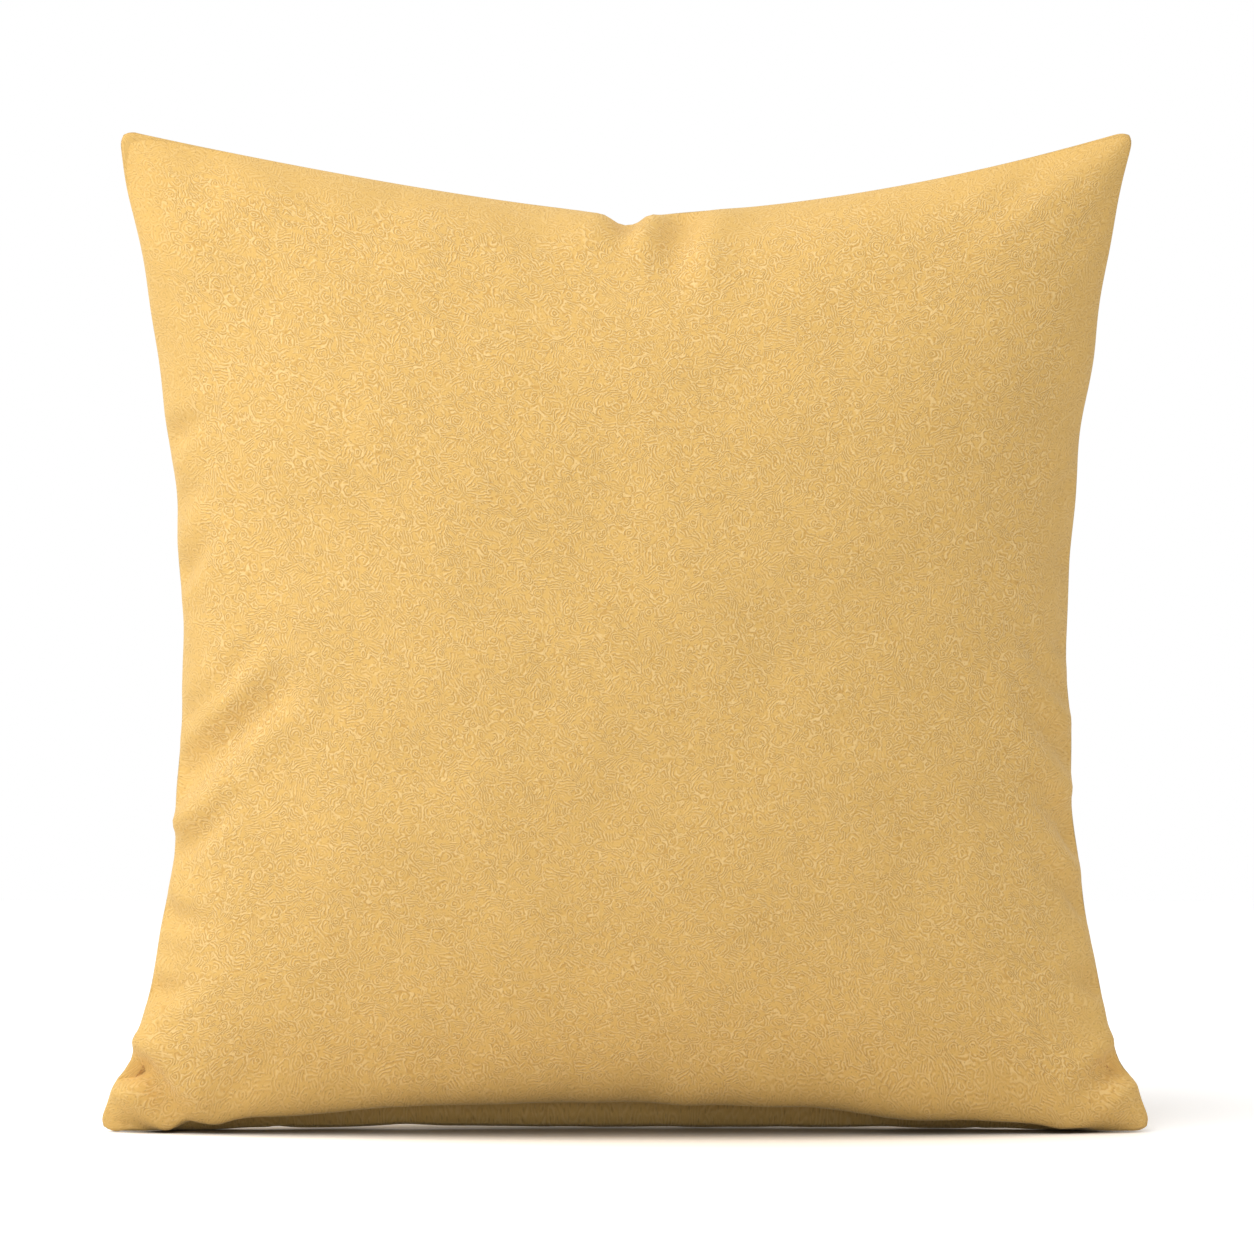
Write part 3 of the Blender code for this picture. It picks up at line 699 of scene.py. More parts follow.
def repeated(bm, one, places):
    """Adds a copy of one small mesh at each place, given as a matrix."""
    pattern = bpy.data.meshes.new("pattern")
    one.to_mesh(pattern)
    one.free()
    rest = np.zeros(len(pattern.vertices) * 3)
    pattern.vertices.foreach_get("co", rest)
    rest = rest.reshape(-1, 3)
    for place in places:
        turn = np.array(place.to_3x3())
        pattern.vertices.foreach_set("co", (rest @ turn.T + np.array(place.translation)).ravel())
        bm.from_mesh(pattern)
    bpy.data.meshes.remove(pattern)


def stitches(bm, spans, thickness):
    """Stitches as slim rounded beads, one between each pair of points."""
    bead = bmesh.new()
    bmesh.ops.create_uvsphere(bead, u_segments=6, v_segments=5, radius=1)
    places = []
    for start, end in spans:
        start, end = Vector(start), Vector(end)
        run = end - start
        turn = run.to_track_quat("Z", "Y").to_matrix().to_4x4()
        size = Matrix.Diagonal((thickness / 2, thickness / 2, run.length / 2, 1))
        places.append(Matrix.Translation((start + end) / 2) @ turn @ size)
    repeated(bm, bead, places)


# How much of its pitch a stitch fills
STITCH_SHARE = 0.86


def evenly(points, pitch):
    """Points every pitch along a route of straight steps."""
    points = np.array(points)
    steps = np.linalg.norm(np.diff(points, axis=0), axis=1)
    reach = np.concatenate([[0], np.cumsum(steps)])
    count = max(int(reach[-1] / pitch), 1)
    wanted = np.linspace(0, reach[-1], count + 1)
    return np.stack([np.interp(wanted, reach, points[:, axis]) for axis in range(3)], axis=1)


def stitch_row(bm, points, pitch, thickness):
    """A row of stitches along the points, each a little shorter than the pitch."""
    spots = evenly(points, pitch)
    middles, halves = (spots[:-1] + spots[1:]) / 2, (spots[1:] - spots[:-1]) / 2 * STITCH_SHARE
    stitches(bm, zip(middles - halves, middles + halves), thickness)


def finished(name, bm, body, material, nodes=(), side=None):
    """The mesh as a piece of the pillow: smooth, with its material, on its body, standing for its nodes."""
    set_out(bm, side)
    mesh = bpy.data.meshes.new(name)
    bm.to_mesh(mesh)
    bm.free()
    mesh.shade_smooth()
    mesh.materials.append(material)
    piece = bpy.data.objects.new(name, mesh)
    bpy.context.scene.collection.objects.link(piece)
    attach(piece, body)
    if nodes:
        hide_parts(*nodes)
    return piece


def thicken(piece, thickness, offset=-1.0):
    wall = piece.modifiers.new("cloth", "SOLIDIFY")
    wall.thickness = thickness
    wall.offset = offset
    wall.use_quality_normals = True


def subdivide(piece):
    finer = piece.modifiers.new("finer", "SUBSURF")
    finer.levels = finer.render_levels = 1


# --- Materials ------------------------------------------------------------------------------------------


# Keeps the phase of a pattern positive, and half the width of a crest where it starts and ends to fade
CREST_START, CREST_EDGE = 100.5, (0.06, 0.34)

# Patterns on the cloth are worked out in millimetres
PER_METRE = 1000.0


class Nodes:
    """Adds nodes to one tree. A value given to an input is a number, a tuple or another node's socket."""

    def __init__(self, tree):
        self.tree = tree

    def join(self, value, socket):
        if isinstance(value, bpy.types.NodeSocket):
            self.tree.links.new(value, socket)
        else:
            socket.default_value = value

    def add(self, kind, inputs=None, **settings):
        node = self.tree.nodes.new(kind)
        for name, value in settings.items():
            setattr(node, name, value)
        for name, value in (inputs or {}).items():
            self.join(value, node.inputs[name])
        return node

    def math(self, operation, *values):
        node = self.add("ShaderNodeMath", operation=operation)
        for value, socket in zip(values, node.inputs):
            self.join(value, socket)
        return node.outputs[0]

    def ramp(self, value, low, high):
        """0 below low, 1 above high, smooth between."""
        node = self.add(
            "ShaderNodeMapRange",
            {"Value": value, "From Min": low, "From Max": high},
            interpolation_type="SMOOTHSTEP",
        )
        return node.outputs[0]

    def inverse(self, value):
        return self.math("SUBTRACT", 1.0, value)

    def parts(self, vector):
        """The X, Y and Z of a vector."""
        return self.add("ShaderNodeSeparateXYZ", {0: vector}).outputs

    def cells(self, vector, scale, feature="F1", **inputs):
        """Flat cells of uneven shape."""
        wanted = {"Vector": vector, "Scale": scale, **inputs}
        return self.add(
            "ShaderNodeTexVoronoi", wanted, voronoi_dimensions="2D", feature=feature
        ).outputs

    def noise(self, vector, scale, detail=2.0, roughness=0.5):
        wanted = {"Vector": vector, "Scale": scale, "Detail": detail, "Roughness": roughness}
        return self.add("ShaderNodeTexNoise", wanted)

    def vector(self, operation, first, second):
        return self.add("ShaderNodeVectorMath", {0: first, 1: second}, operation=operation).outputs[0]

    def scaled(self, vector, factor):
        return self.add("ShaderNodeVectorMath", {0: vector, "Scale": factor}, operation="SCALE").outputs[0]

    def choose(self, share, first, second):
        """first where share is 0, second where it is 1."""
        node = self.add("ShaderNodeMix", data_type="FLOAT")
        for value, socket in ((share, node.inputs[0]), (first, node.inputs[2]), (second, node.inputs[3])):
            self.join(value, socket)
        return node.outputs[0]

    def crest(self, phase, shift):
        """Narrow rounded lines, one for each whole turn of the phase."""
        turn = self.math("FRACT", self.math("ADD", phase, CREST_START + shift))
        from_crest = self.math("ABSOLUTE", self.math("SUBTRACT", turn, 0.5))
        return self.inverse(self.ramp(from_crest, *CREST_EDGE))

    def mix(self, share, first, second):
        node = self.add("ShaderNodeMix", data_type="RGBA")
        for value, socket in ((share, node.inputs[0]), (first, node.inputs[6]), (second, node.inputs[7])):
            self.join(value, socket)
        return node.outputs[2]


def new_group(name, inputs, outputs):
    """A shader group with named sockets. Returns it, its nodes helper, its inputs and its outputs."""
    group = bpy.data.node_groups.new(name, "ShaderNodeTree")
    for direction, sockets in (("INPUT", inputs), ("OUTPUT", outputs)):
        for label, kind, default in sockets:
            made = group.interface.new_socket(name=label, in_out=direction, socket_type=kind)
            if default is not None:
                made.default_value = default
    nodes = Nodes(group)
    return group, nodes, nodes.add("NodeGroupInput").outputs, nodes.add("NodeGroupOutput").inputs


VECTOR, FLOAT = "NodeSocketVector", "NodeSocketFloat"

# Shares of the cells that hold rings and stripes. The rest hold spirals
RINGS_SHARE, STRIPES_SHARE = 0.40, 0.32


def emboss_group():
    """Thin ridges pressed into suede-like cloth: each cell of it holds rings, stripes or a spiral.

    Vector is in millimetres.
    """
    name = "embossed_labyrinth"
    if name in bpy.data.node_groups:
        return bpy.data.node_groups[name]
    group, nodes, given, put = new_group(
        name,
        [("Vector", VECTOR, None), ("Pitch", FLOAT, 1.3), ("Cell", FLOAT, 5.4), ("Wander", FLOAT, 2.4)],
        [("Ridge", FLOAT, None), ("Groove", FLOAT, None), ("Dots", FLOAT, None)],
    )
    spot = given["Vector"]
    for scale, reach in ((0.11, 2.0), (0.42, 0.75)):
        drift = nodes.noise(given["Vector"], scale, 1.0).outputs["Color"]
        centred = nodes.vector("SUBTRACT", drift, (0.5, 0.5, 0.5))
        wander = nodes.math("MULTIPLY", given["Wander"], reach)
        spot = nodes.vector("ADD", spot, nodes.scaled(centred, wander))
    density = nodes.math("DIVIDE", 1.0, given["Cell"])
    cells = nodes.cells(spot, density)
    walls = nodes.cells(spot, density, "DISTANCE_TO_EDGE")
    from_wall = nodes.math("MULTIPLY", walls["Distance"], given["Cell"])
    chance = nodes.parts(cells["Color"])
    local = nodes.parts(nodes.vector("SUBTRACT", spot, cells["Position"]))
    place = nodes.parts(spot)
    angle = nodes.math("MULTIPLY", chance[1], math.pi)
    stripes = nodes.math(
        "ADD",
        nodes.math("MULTIPLY", place[0], nodes.math("COSINE", angle)),
        nodes.math("MULTIPLY", place[1], nodes.math("SINE", angle)),
    )
    stripes = nodes.math("DIVIDE", stripes, given["Pitch"])
    merged = nodes.cells(spot, density, "SMOOTH_F1", Smoothness=0.55)
    rings = nodes.math("DIVIDE", nodes.math("MULTIPLY", merged["Distance"], given["Cell"]), given["Pitch"])
    round_centre = nodes.math("DIVIDE", nodes.math("ARCTAN2", local[1], local[0]), 2 * math.pi)
    from_centre = nodes.math("MULTIPLY", cells["Distance"], given["Cell"])
    spiral = nodes.math("ADD", nodes.math("DIVIDE", from_centre, given["Pitch"]), round_centre)
    phase = nodes.choose(nodes.math("GREATER_THAN", chance[0], RINGS_SHARE), rings, stripes)
    phase = nodes.choose(nodes.math("GREATER_THAN", chance[0], RINGS_SHARE + STRIPES_SHARE), phase, spiral)
    ridge = nodes.crest(phase, 0.0)
    groove = nodes.crest(phase, 0.34)
    wall = nodes.inverse(nodes.ramp(from_wall, 0.12, 0.46))
    beside = nodes.crest(nodes.math("DIVIDE", from_wall, 1.5), 0.5)
    near_wall = nodes.inverse(nodes.ramp(from_wall, 0.8, 1.1))
    broken = nodes.ramp(nodes.noise(given["Vector"], 0.33, 1.0).outputs["Fac"], 0.36, 0.50)
    patches = nodes.ramp(nodes.noise(given["Vector"], 0.10, 2.0).outputs["Fac"], 0.30, 0.55)
    strength = nodes.math("MULTIPLY", broken, nodes.math("MULTIPLY_ADD", patches, 0.45, 0.55))
    ridge = nodes.math("MULTIPLY", ridge, strength)
    groove = nodes.math("MULTIPLY", groove, strength)
    kept = nodes.ramp(nodes.noise(given["Vector"], 0.19, 1.0).outputs["Fac"], 0.50, 0.58)
    wall = nodes.math("MULTIPLY", wall, nodes.math("MULTIPLY", kept, 0.85))
    beside = nodes.math("MULTIPLY", beside, nodes.math("MULTIPLY", near_wall, kept))
    nodes.join(nodes.math("MAXIMUM", ridge, wall), put["Ridge"])
    nodes.join(nodes.math("MAXIMUM", groove, nodes.math("MULTIPLY", beside, 0.8)), put["Groove"])
    dots = nodes.cells(given["Vector"], 0.36)
    nodes.join(nodes.ramp(nodes.math("SUBTRACT", 0.16, dots["Distance"]), 0.0, 0.09), put["Dots"])
    return group


def grain_group():
    """Fine nap and slow cloudy unevenness, each round 0.5. Vector is in millimetres."""
    name = "nap_and_clouds"
    if name in bpy.data.node_groups:
        return bpy.data.node_groups[name]
    group, nodes, given, put = new_group(
        name,
        [("Vector", VECTOR, None), ("Grain", FLOAT, 2.2), ("Cloud", FLOAT, 0.035)],
        [("Nap", FLOAT, None), ("Clouds", FLOAT, None)],
    )
    nap = nodes.noise(given["Vector"], given["Grain"], 2.0, 0.7)
    nodes.join(nap.outputs["Fac"], put["Nap"])
    clouds = nodes.noise(given["Vector"], given["Cloud"], 4.0, 0.62)
    nodes.join(clouds.outputs["Fac"], put["Clouds"])
    return group


def weave_group():
    """A plain weave of warp and weft threads, 0 to 1 in height. Vector is in metres."""
    name = "plain_weave"
    if name in bpy.data.node_groups:
        return bpy.data.node_groups[name]
    group, nodes, given, put = new_group(
        name,
        [("Vector", VECTOR, None), ("Thread", FLOAT, 0.0004)],
        [("Height", FLOAT, None), ("Cross", FLOAT, None)],
    )
    parts = nodes.parts(given["Vector"])
    warp, weft = (
        nodes.math("SINE", nodes.math("DIVIDE", nodes.math("MULTIPLY", run, math.pi), given["Thread"]))
        for run in (parts[0], nodes.math("ADD", parts[2], parts[1]))
    )
    over = nodes.math("MULTIPLY", warp, weft)
    nodes.join(nodes.math("MULTIPLY_ADD", over, 0.5, 0.5), put["Height"])
    nodes.join(nodes.ramp(over, -0.2, 0.9), put["Cross"])
    return group


def wear_group():
    """Fine scratches and dull patches of handled metal."""
    name = "handled_metal"
    if name in bpy.data.node_groups:
        return bpy.data.node_groups[name]
    group, nodes, given, put = new_group(
        name, [("Vector", VECTOR, None)], [("Scratches", FLOAT, None), ("Dull", FLOAT, None)]
    )
    stretched = nodes.add("ShaderNodeMapping", {"Vector": given["Vector"], "Scale": (400, 4000, 4000)})
    scratches = nodes.noise(stretched.outputs[0], 1.0, 3.0, 0.6)
    nodes.join(nodes.ramp(scratches.outputs["Fac"], 0.35, 0.75), put["Scratches"])
    dull = nodes.noise(given["Vector"], 700.0, 3.0, 0.6)
    nodes.join(nodes.ramp(dull.outputs["Fac"], 0.35, 0.70), put["Dull"])
    return group


def new_material(name, roughness, metallic=0.0, sheen=0.0, sheen_roughness=0.5, sheen_tint=(1, 1, 1)):
    """A material, its nodes helper and its shader, with the plain values set on the shader's own sockets."""
    made = bpy.data.materials.new(name)
    made_materials[name] = made
    made.use_nodes = True
    shader = made.node_tree.nodes["Principled BSDF"]
    shader.inputs["Roughness"].default_value = roughness
    shader.inputs["Metallic"].default_value = metallic
    shader.inputs["Sheen Weight"].default_value = sheen
    shader.inputs["Sheen Roughness"].default_value = sheen_roughness
    shader.inputs["Sheen Tint"].default_value = (*sheen_tint, 1)
    return made, Nodes(made.node_tree), shader


def shade(colour, factor):
    return tuple(min(channel * factor, 1.0) for channel in colour[:3]) + (1,)


def in_group(nodes, group, **inputs):
    node = nodes.add("ShaderNodeGroup", node_tree=group)
    for name, value in inputs.items():
        nodes.join(value, node.inputs[name.replace("_", " ")])
    return node.outputs


def object_place(nodes):
    return nodes.add("ShaderNodeTexCoord").outputs["Object"]


def bump(nodes, shader, height, distance, strength=1.0):
    node = nodes.add("ShaderNodeBump", {"Height": height, "Distance": distance, "Strength": strength})
    nodes.join(node.outputs[0], shader.inputs["Normal"])


def pattern_fade_at_sides(nodes, place, clouds):
    """How strongly the pattern, with its painted highlight and painted shade, shows: full on the face, faint
    along the panel's four sides.
    """
    half = PER_METRE * bpy.context.scene.pillow_shape.panel_cut / 2
    parts = nodes.parts(place)
    on_back = nodes.math("ABSOLUTE", nodes.math("SUBTRACT", parts[0], PER_METRE * BACK_SHIFT))
    across = nodes.math("MINIMUM", nodes.math("ABSOLUTE", parts[0]), on_back)
    up = nodes.math("ABSOLUTE", parts[1])
    inward = nodes.math("SUBTRACT", half, nodes.math("MAXIMUM", across, up))
    inward = nodes.math("ADD", inward, nodes.math("MULTIPLY", nodes.math("SUBTRACT", clouds, 0.5), 40.0))
    return nodes.math("MULTIPLY_ADD", nodes.ramp(inward, 2.0, 28.0), 0.60, 0.40)


def cover_cloth(finish):
    """Soft suede-like cloth embossed with thin rings and wandering ridges, with a painted highlight on the
    ridges and painted shade in the grooves beside them.
    """
    if "cover_cloth" in made_materials:
        return made_materials["cover_cloth"]
    made, nodes, shader = new_material("cover_cloth", 0.88, 0, 0.34, 0.36, (1.0, 0.88, 0.62))
    shader.inputs["Specular IOR Level"].default_value = 0.2
    place = nodes.add("ShaderNodeUVMap", uv_map="cloth").outputs[0]
    place = nodes.scaled(place, PER_METRE)
    rings = in_group(nodes, emboss_group(), Vector=place, Pitch=finish.ridge_pitch)
    nap = in_group(nodes, grain_group(), Vector=place)
    colour = tuple(finish.colour)
    clouds = nodes.ramp(nap["Clouds"], 0.30, 0.70)
    pressed = pattern_fade_at_sides(nodes, place, nap["Clouds"])
    ridge = nodes.math("MULTIPLY", rings["Ridge"], pressed)
    groove = nodes.math("MULTIPLY", rings["Groove"], pressed)
    ground = nodes.mix(clouds, shade(colour, 0.93), shade(colour, 1.05))
    fine = nodes.mix(nodes.ramp(nap["Nap"], 0.25, 0.75), shade(colour, 0.86), shade(colour, 1.10))
    ground = nodes.mix(0.5, ground, fine)
    # Painted shade beside the ridges and a painted highlight on them, laid into the base colour
    with_painted_groove_shade = nodes.mix(nodes.math("MULTIPLY", groove, 0.55), ground, shade(finish.groove_shade_colour, 1))
    with_painted_ridge_highlight = nodes.mix(nodes.math("MULTIPLY", ridge, 0.62), with_painted_groove_shade, shade(finish.ridge_highlight_colour, 1))
    dotted = nodes.mix(nodes.math("MULTIPLY", rings["Dots"], 0.35), with_painted_ridge_highlight, shade(finish.groove_shade_colour, 0.7))
    nodes.join(dotted, shader.inputs["Base Color"])
    height = nodes.math("SUBTRACT", ridge, nodes.math("MULTIPLY", groove, 0.6))
    height = nodes.math("MULTIPLY_ADD", nap["Nap"], 0.5, height)
    bump(nodes, shader, height, 0.18 * MM, 0.8)
    return made


def thread_material(name, colour):
    """Twisted sewing thread."""
    if name in made_materials:
        return made_materials[name]
    made, nodes, shader = new_material(name, 0.7, 0, 0.3)
    place = object_place(nodes)
    twist = nodes.add(
        "ShaderNodeTexWave", {"Vector": place, "Scale": 900.0, "Distortion": 1.5}, bands_direction="DIAGONAL"
    )
    fibres = nodes.math("MULTIPLY", nodes.noise(place, 6000.0, 2.0).outputs["Fac"], 0.3)
    plies = nodes.math("MULTIPLY_ADD", twist.outputs["Fac"], 0.7, fibres)
    nodes.join(nodes.mix(plies, shade(colour, 0.72), shade(colour, 1.15)), shader.inputs["Base Color"])
    bump(nodes, shader, plies, 0.05 * MM)
    return made


def woven_material(name, colour, thread, roughness=0.85, sheen=0.2):
    """Plain woven cloth, such as a zip's tape, a pad's case or a label."""
    if name in made_materials:
        return made_materials[name]
    made, nodes, shader = new_material(name, roughness, 0, sheen)
    place = object_place(nodes)
    weave = in_group(nodes, weave_group(), Vector=place, Thread=thread)
    nap = in_group(nodes, grain_group(), Vector=nodes.scaled(place, PER_METRE))
    dark = nodes.mix(weave["Cross"], shade(colour, 0.82), shade(colour, 1.04))
    clouded = nodes.mix(nodes.ramp(nap["Clouds"], 0.3, 0.7), shade(colour, 0.93), shade(colour, 1.03))
    nodes.join(nodes.mix(0.4, dark, clouded), shader.inputs["Base Color"])
    bump(nodes, shader, weave["Height"], thread * 0.4)
    return made


def metal_material(name, colour):
    if name in made_materials:
        return made_materials[name]
    made, nodes, shader = new_material(name, 0.35, 1.0)
    place = object_place(nodes)
    wear = in_group(nodes, wear_group(), Vector=place)
    nodes.join(nodes.mix(wear["Dull"], shade(colour, 1.12), shade(colour, 0.78)), shader.inputs["Base Color"])
    dull = nodes.math("MULTIPLY_ADD", wear["Dull"], 0.15, 0.22)
    rough = nodes.math("MULTIPLY_ADD", wear["Scratches"], 0.18, dull)
    nodes.join(rough, shader.inputs["Roughness"])
    bump(nodes, shader, wear["Scratches"], 0.01 * MM)
    return made


def teeth_material(finish):
    """Moulded nylon teeth."""
    if "zip_teeth" in made_materials:
        return made_materials["zip_teeth"]
    made, nodes, shader = new_material("zip_teeth", 0.4)
    place = object_place(nodes)
    cast = nodes.noise(place, 900.0, 3.0).outputs["Fac"]
    colour = tuple(finish.tooth_colour)
    nodes.join(nodes.mix(cast, shade(colour, 0.82), shade(colour, 1.15)), shader.inputs["Base Color"])
    nodes.join(nodes.math("MULTIPLY_ADD", cast, 0.2, 0.32), shader.inputs["Roughness"])
    bump(nodes, shader, cast, 0.03 * MM)
    return made


def fibre_material(colour):
    """Loose fluffy filling."""
    if "fibre" in made_materials:
        return made_materials["fibre"]
    made, nodes, shader = new_material("fibre", 1.0, 0, 0.6)
    place = object_place(nodes)
    tufts = nodes.noise(place, 90.0, 6.0, 0.65)
    strands = nodes.add(
        "ShaderNodeTexWave", {"Vector": place, "Scale": 60.0, "Distortion": 22.0, "Detail": 4.0}
    )
    fluff = nodes.math("MULTIPLY_ADD", strands.outputs["Fac"], 0.4, tufts.outputs["Fac"])
    nodes.join(nodes.mix(fluff, shade(colour, 0.84), shade(colour, 1.05)), shader.inputs["Base Color"])
    bump(nodes, shader, fluff, 1.5 * MM)
    return made


def cover_thread():
    return thread_material("cover_thread", tuple(bpy.context.scene.pillow_cover.thread_colour))


def pad_thread():
    return thread_material("pad_thread", shade(tuple(bpy.context.scene.pillow_pad.colour), 0.95))


def label_satin():
    colour = tuple(bpy.context.scene.pillow_pad.label_colour)
    return woven_material("label_satin", colour, 0.25 * MM, 0.45, 0.1)


def zip_metal():
    return metal_material("zip_metal", tuple(bpy.context.scene.pillow_zip.metal_colour))


# --- The cover ------------------------------------------------------------------------------------------


def hem_share(x, up):
    """1 where the border is the zip's folded hem, 0 where it is a seam."""
    return (up < -0.9999) * smooth_step((ZIP_HALF + 1 * MM - abs(x)) / (3 * MM))


def border_profile(finish):
    """Steps of the border as (inset, half gap): for the sewn seam, and for the folded hem at the zip."""
    seam = (
        (0.6 * MM, SEAM_HALF_GAP),
        (3.0 * MM, SEAM_HALF_GAP),
        (6.5 * MM, SEAM_HALF_GAP),
        (finish.allowance, SEAM_HALF_GAP),
    )
    hem = (
        (0.6 * MM, SLIT_HALF_GAP),
        (1.2 * MM, SLIT_HALF_GAP),
        (1.8 * MM, SLIT_HALF_GAP),
        (2.3 * MM, SLIT_HALF_GAP),
    )
    return seam, hem


def cover_panel(side, shape, finish):
    """One panel with its seam allowance and zip hem, as one sheet of cloth facing out."""
    points = soft_shape["cover"][side]
    sign = OUTWARD[side]
    bm = bmesh.new()
    grid_sheet(bm, NET_CELLS + 1, NET_CELLS + 1, lambda row, column: points[row, column])
    row_of, column_of = bm.verts.layers.int["row"], bm.verts.layers.int["column"]
    ring_of = bm.verts.layers.int.new("ring")
    for vert in bm.verts:
        if vert.is_boundary:
            share = hem_share(vert.co.x, LINES[vert[row_of]])
            vert.co.y = sign * (SEAM_HALF_GAP * (1 - share) + SLIT_HALF_GAP * share)
    border = [edge for edge in bm.edges if edge.is_boundary]
    seam, hem = border_profile(finish)
    for number, (sewn, folded) in enumerate(zip(seam, hem), 1):
        border, added = grow_border(bm, border)
        for vert in added:
            across, up = LINES[vert[column_of]], LINES[vert[row_of]]
            share = hem_share(outline(across, up, shape)[0], up)
            inset, half_gap = (first * (1 - share) + second * share for first, second in zip(sewn, folded))
            x, z = edge_place(across, up, inset, shape)
            vert.co = (x, sign * half_gap, z)
            vert[ring_of] = number
    cloth_map(bm, side, shape, row_of, column_of, ring_of)
    return bm


def cloth_map(bm, side, shape, row_of, column_of, ring_of):
    """The cloth's own map, in metres on the cut panel, so that its pattern follows the cloth."""
    layer = bm.loops.layers.uv.new("cloth")
    half = shape.panel_cut / 2
    shift = BACK_SHIFT if side == BACK else 0.0
    for face in bm.faces:
        for loop in face.loops:
            vert = loop.vert
            grow = 1 + 0.01 * vert[ring_of]
            loop[layer].uv = (LINES[vert[column_of]] * half * grow + shift, LINES[vert[row_of]] * half * grow)


class PILLOW_OT_cover(bpy.types.Operator):
    """Fill the two panels of the cover and sew them together"""

    bl_idname = "pillow.cover"
    bl_label = "Cover"

    def execute(self, context):
        scene = context.scene
        shape, finish = scene.pillow_shape, scene.pillow_cover
        cover = shape_cover(shape)
        soft_shape["cover"] = cover
        soft_shape["normals"] = [normals_of(cover[side], side) for side in (FRONT, BACK)]
        for side, name in ((FRONT, "cover_front"), (BACK, "cover_back")):
            bm = cover_panel(side, shape, finish)
            piece = finished(
                name + "_cloth", bm, "pillow", cover_cloth(finish), [name], side=side
            )
            thicken(piece, finish.cloth)
            subdivide(piece)
        return {"FINISHED"}


def seam_points(inset, y=0.0):
    """Points along the sewn edge, in from it by inset, from one end of the zip round to the other."""
    shape = bpy.context.scene.pillow_shape
    zip_end = ZIP_HALF / (shape.bottom_width / 2)
    route = border_route(-zip_end, zip_end)
    x, z = edge_place(route[:, 0], route[:, 1], inset, shape)
    return np.stack([x, np.full(x.shape, y), z], axis=1)


class PILLOW_OT_cover_seam(bpy.types.Operator):
    """Sew the seam of the cover and bind its raw edges"""

    bl_idname = "pillow.cover_seam"
    bl_label = "Cover seam"

    def execute(self, context):
        finish = context.scene.pillow_cover
        bm = bmesh.new()
        stitch_row(bm, seam_points(1.4 * MM), finish.stitch, 0.45 * MM)
        finished("cover_seam_stitches", bm, "pillow", cover_thread(), ["cover_seam_thread"])
        bm = bmesh.new()
        self.bind(bm, finish)
        finished("cover_overlock_binding", bm, "pillow", cover_thread(), ["cover_overlock"])
        return {"FINISHED"}

    def bind(self, bm, finish):
        """Overlocking: loops of thread round both raw edges, on two rows of needle thread."""
        inner_half = SEAM_HALF_GAP + finish.cloth + 0.25 * MM
        raw, sewn = finish.allowance + 0.4 * MM, finish.allowance - 3.0 * MM
        start = evenly(seam_points(sewn), 1.6 * MM)
        end = evenly(seam_points(raw), 1.6 * MM)
        count = min(len(start), len(end))
        picked = np.linspace(0, 1, count)
        start = start[np.round(picked * (len(start) - 1)).astype(int)]
        end = end[np.round(picked * (len(end) - 1)).astype(int)]
        across = np.array([0, inner_half, 0])
        for y in (-1, 1):
            stitches(bm, zip(start + y * across, end + y * across), 0.3 * MM)
            stitch_row(bm, seam_points(sewn, y * inner_half * 1.12), 2.6 * MM, 0.35 * MM)
        stitches(bm, zip(end - across, end + across), 0.3 * MM)


class PILLOW_OT_labels(bpy.types.Operator):
    """Sew a blank label into the cover's side seam and another into the pad's"""

    bl_idname = "pillow.labels"
    bl_label = "Labels"

    def execute(self, context):
        low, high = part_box("care_label")
        self.strip("care_label_cloth", "care_label", low, high, self.hanging)
        low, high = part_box("pad_care_label")
        self.strip("pad_care_label_cloth", "pad_care_label", low, high, self.flat)
        return {"FINISHED"}

    def hanging(self, low, high, share, up):
        """In from the seam, then down along the pad's wall."""
        z = low.z + (high.z - low.z) * up
        edge, _ = edge_place(1.0, 2 * z / FRAME_HEIGHT - 1, 2.4 * MM, bpy.context.scene.pillow_shape)
        turn = min(share / 0.35, 1.0)
        fall = max((share - 0.35) / 0.65, 0.0)
        x = float(edge) - 11.0 * MM * math.sin(turn * math.pi / 2) + 0.5 * MM * math.sin(4 * math.pi * fall)
        y = -2.6 * MM - 2.0 * MM * (1 - math.cos(turn * math.pi / 2)) - 15 * MM * fall
        return x, y, z

    def flat(self, low, high, share, up):
        shape = bpy.context.scene.pillow_shape
        z = low.z + (high.z - low.z) * up
        place = 2 * z / FRAME_HEIGHT - 1
        edge, _ = edge_place(-1.0, place, PAD_INSET, shape)
        wave = 0.2 * MM * math.sin(2 * math.pi * up)
        return float(edge) - 1.1 * MM - abs(wave), low.y + 1.2 * MM + (high.y - low.y) * share, z

    def strip(self, name, node, low, high, place):
        steps, rows = 13, 9
        bm = bmesh.new()
        grid_sheet(
            bm, rows, steps, lambda row, column: place(low, high, column / (steps - 1), row / (rows - 1))
        )
        piece = finished(name, bm, "pillow", label_satin(), [node])
        thicken(piece, 0.3 * MM, offset=0)
        subdivide(piece)


# --- The zip --------------------------------------------------------------------------------------------


def inside(side, row, column, depth):
    """A point of the cover's net, moved in through the cloth by depth."""
    return Vector(soft_shape["cover"][side][row, column] - soft_shape["normals"][side][row, column] * depth)


def zip_columns():
    x = soft_shape["cover"][FRONT][0, :, 0]
    return [int(number) for number in np.flatnonzero(np.abs(x) < ZIP_HALF - CLEARANCE)]


def tape_route(side, column, depth):
    """Cross-section of a tape: flat beside the teeth, then up along the inside of the panel."""
    sign = OUTWARD[side]
    x = float(soft_shape["cover"][side][0, column, 0])
    middle = (CHAIN_LOW.z + CHAIN_HIGH.z) / 2
    near = Vector((x, sign * (CHAIN_HIGH.y - CHAIN_LOW.y) * 0.62, middle))
    bend = Vector((x, sign * 5.2 * MM, middle + 0.1 * MM))
    rise = [inside(side, row, column, depth) for row in (5, 6, 7)]
    for point in rise:
        point.z = max(point.z, middle + 0.3 * MM)
    return [near, near.lerp(bend, 0.5), bend, *rise]


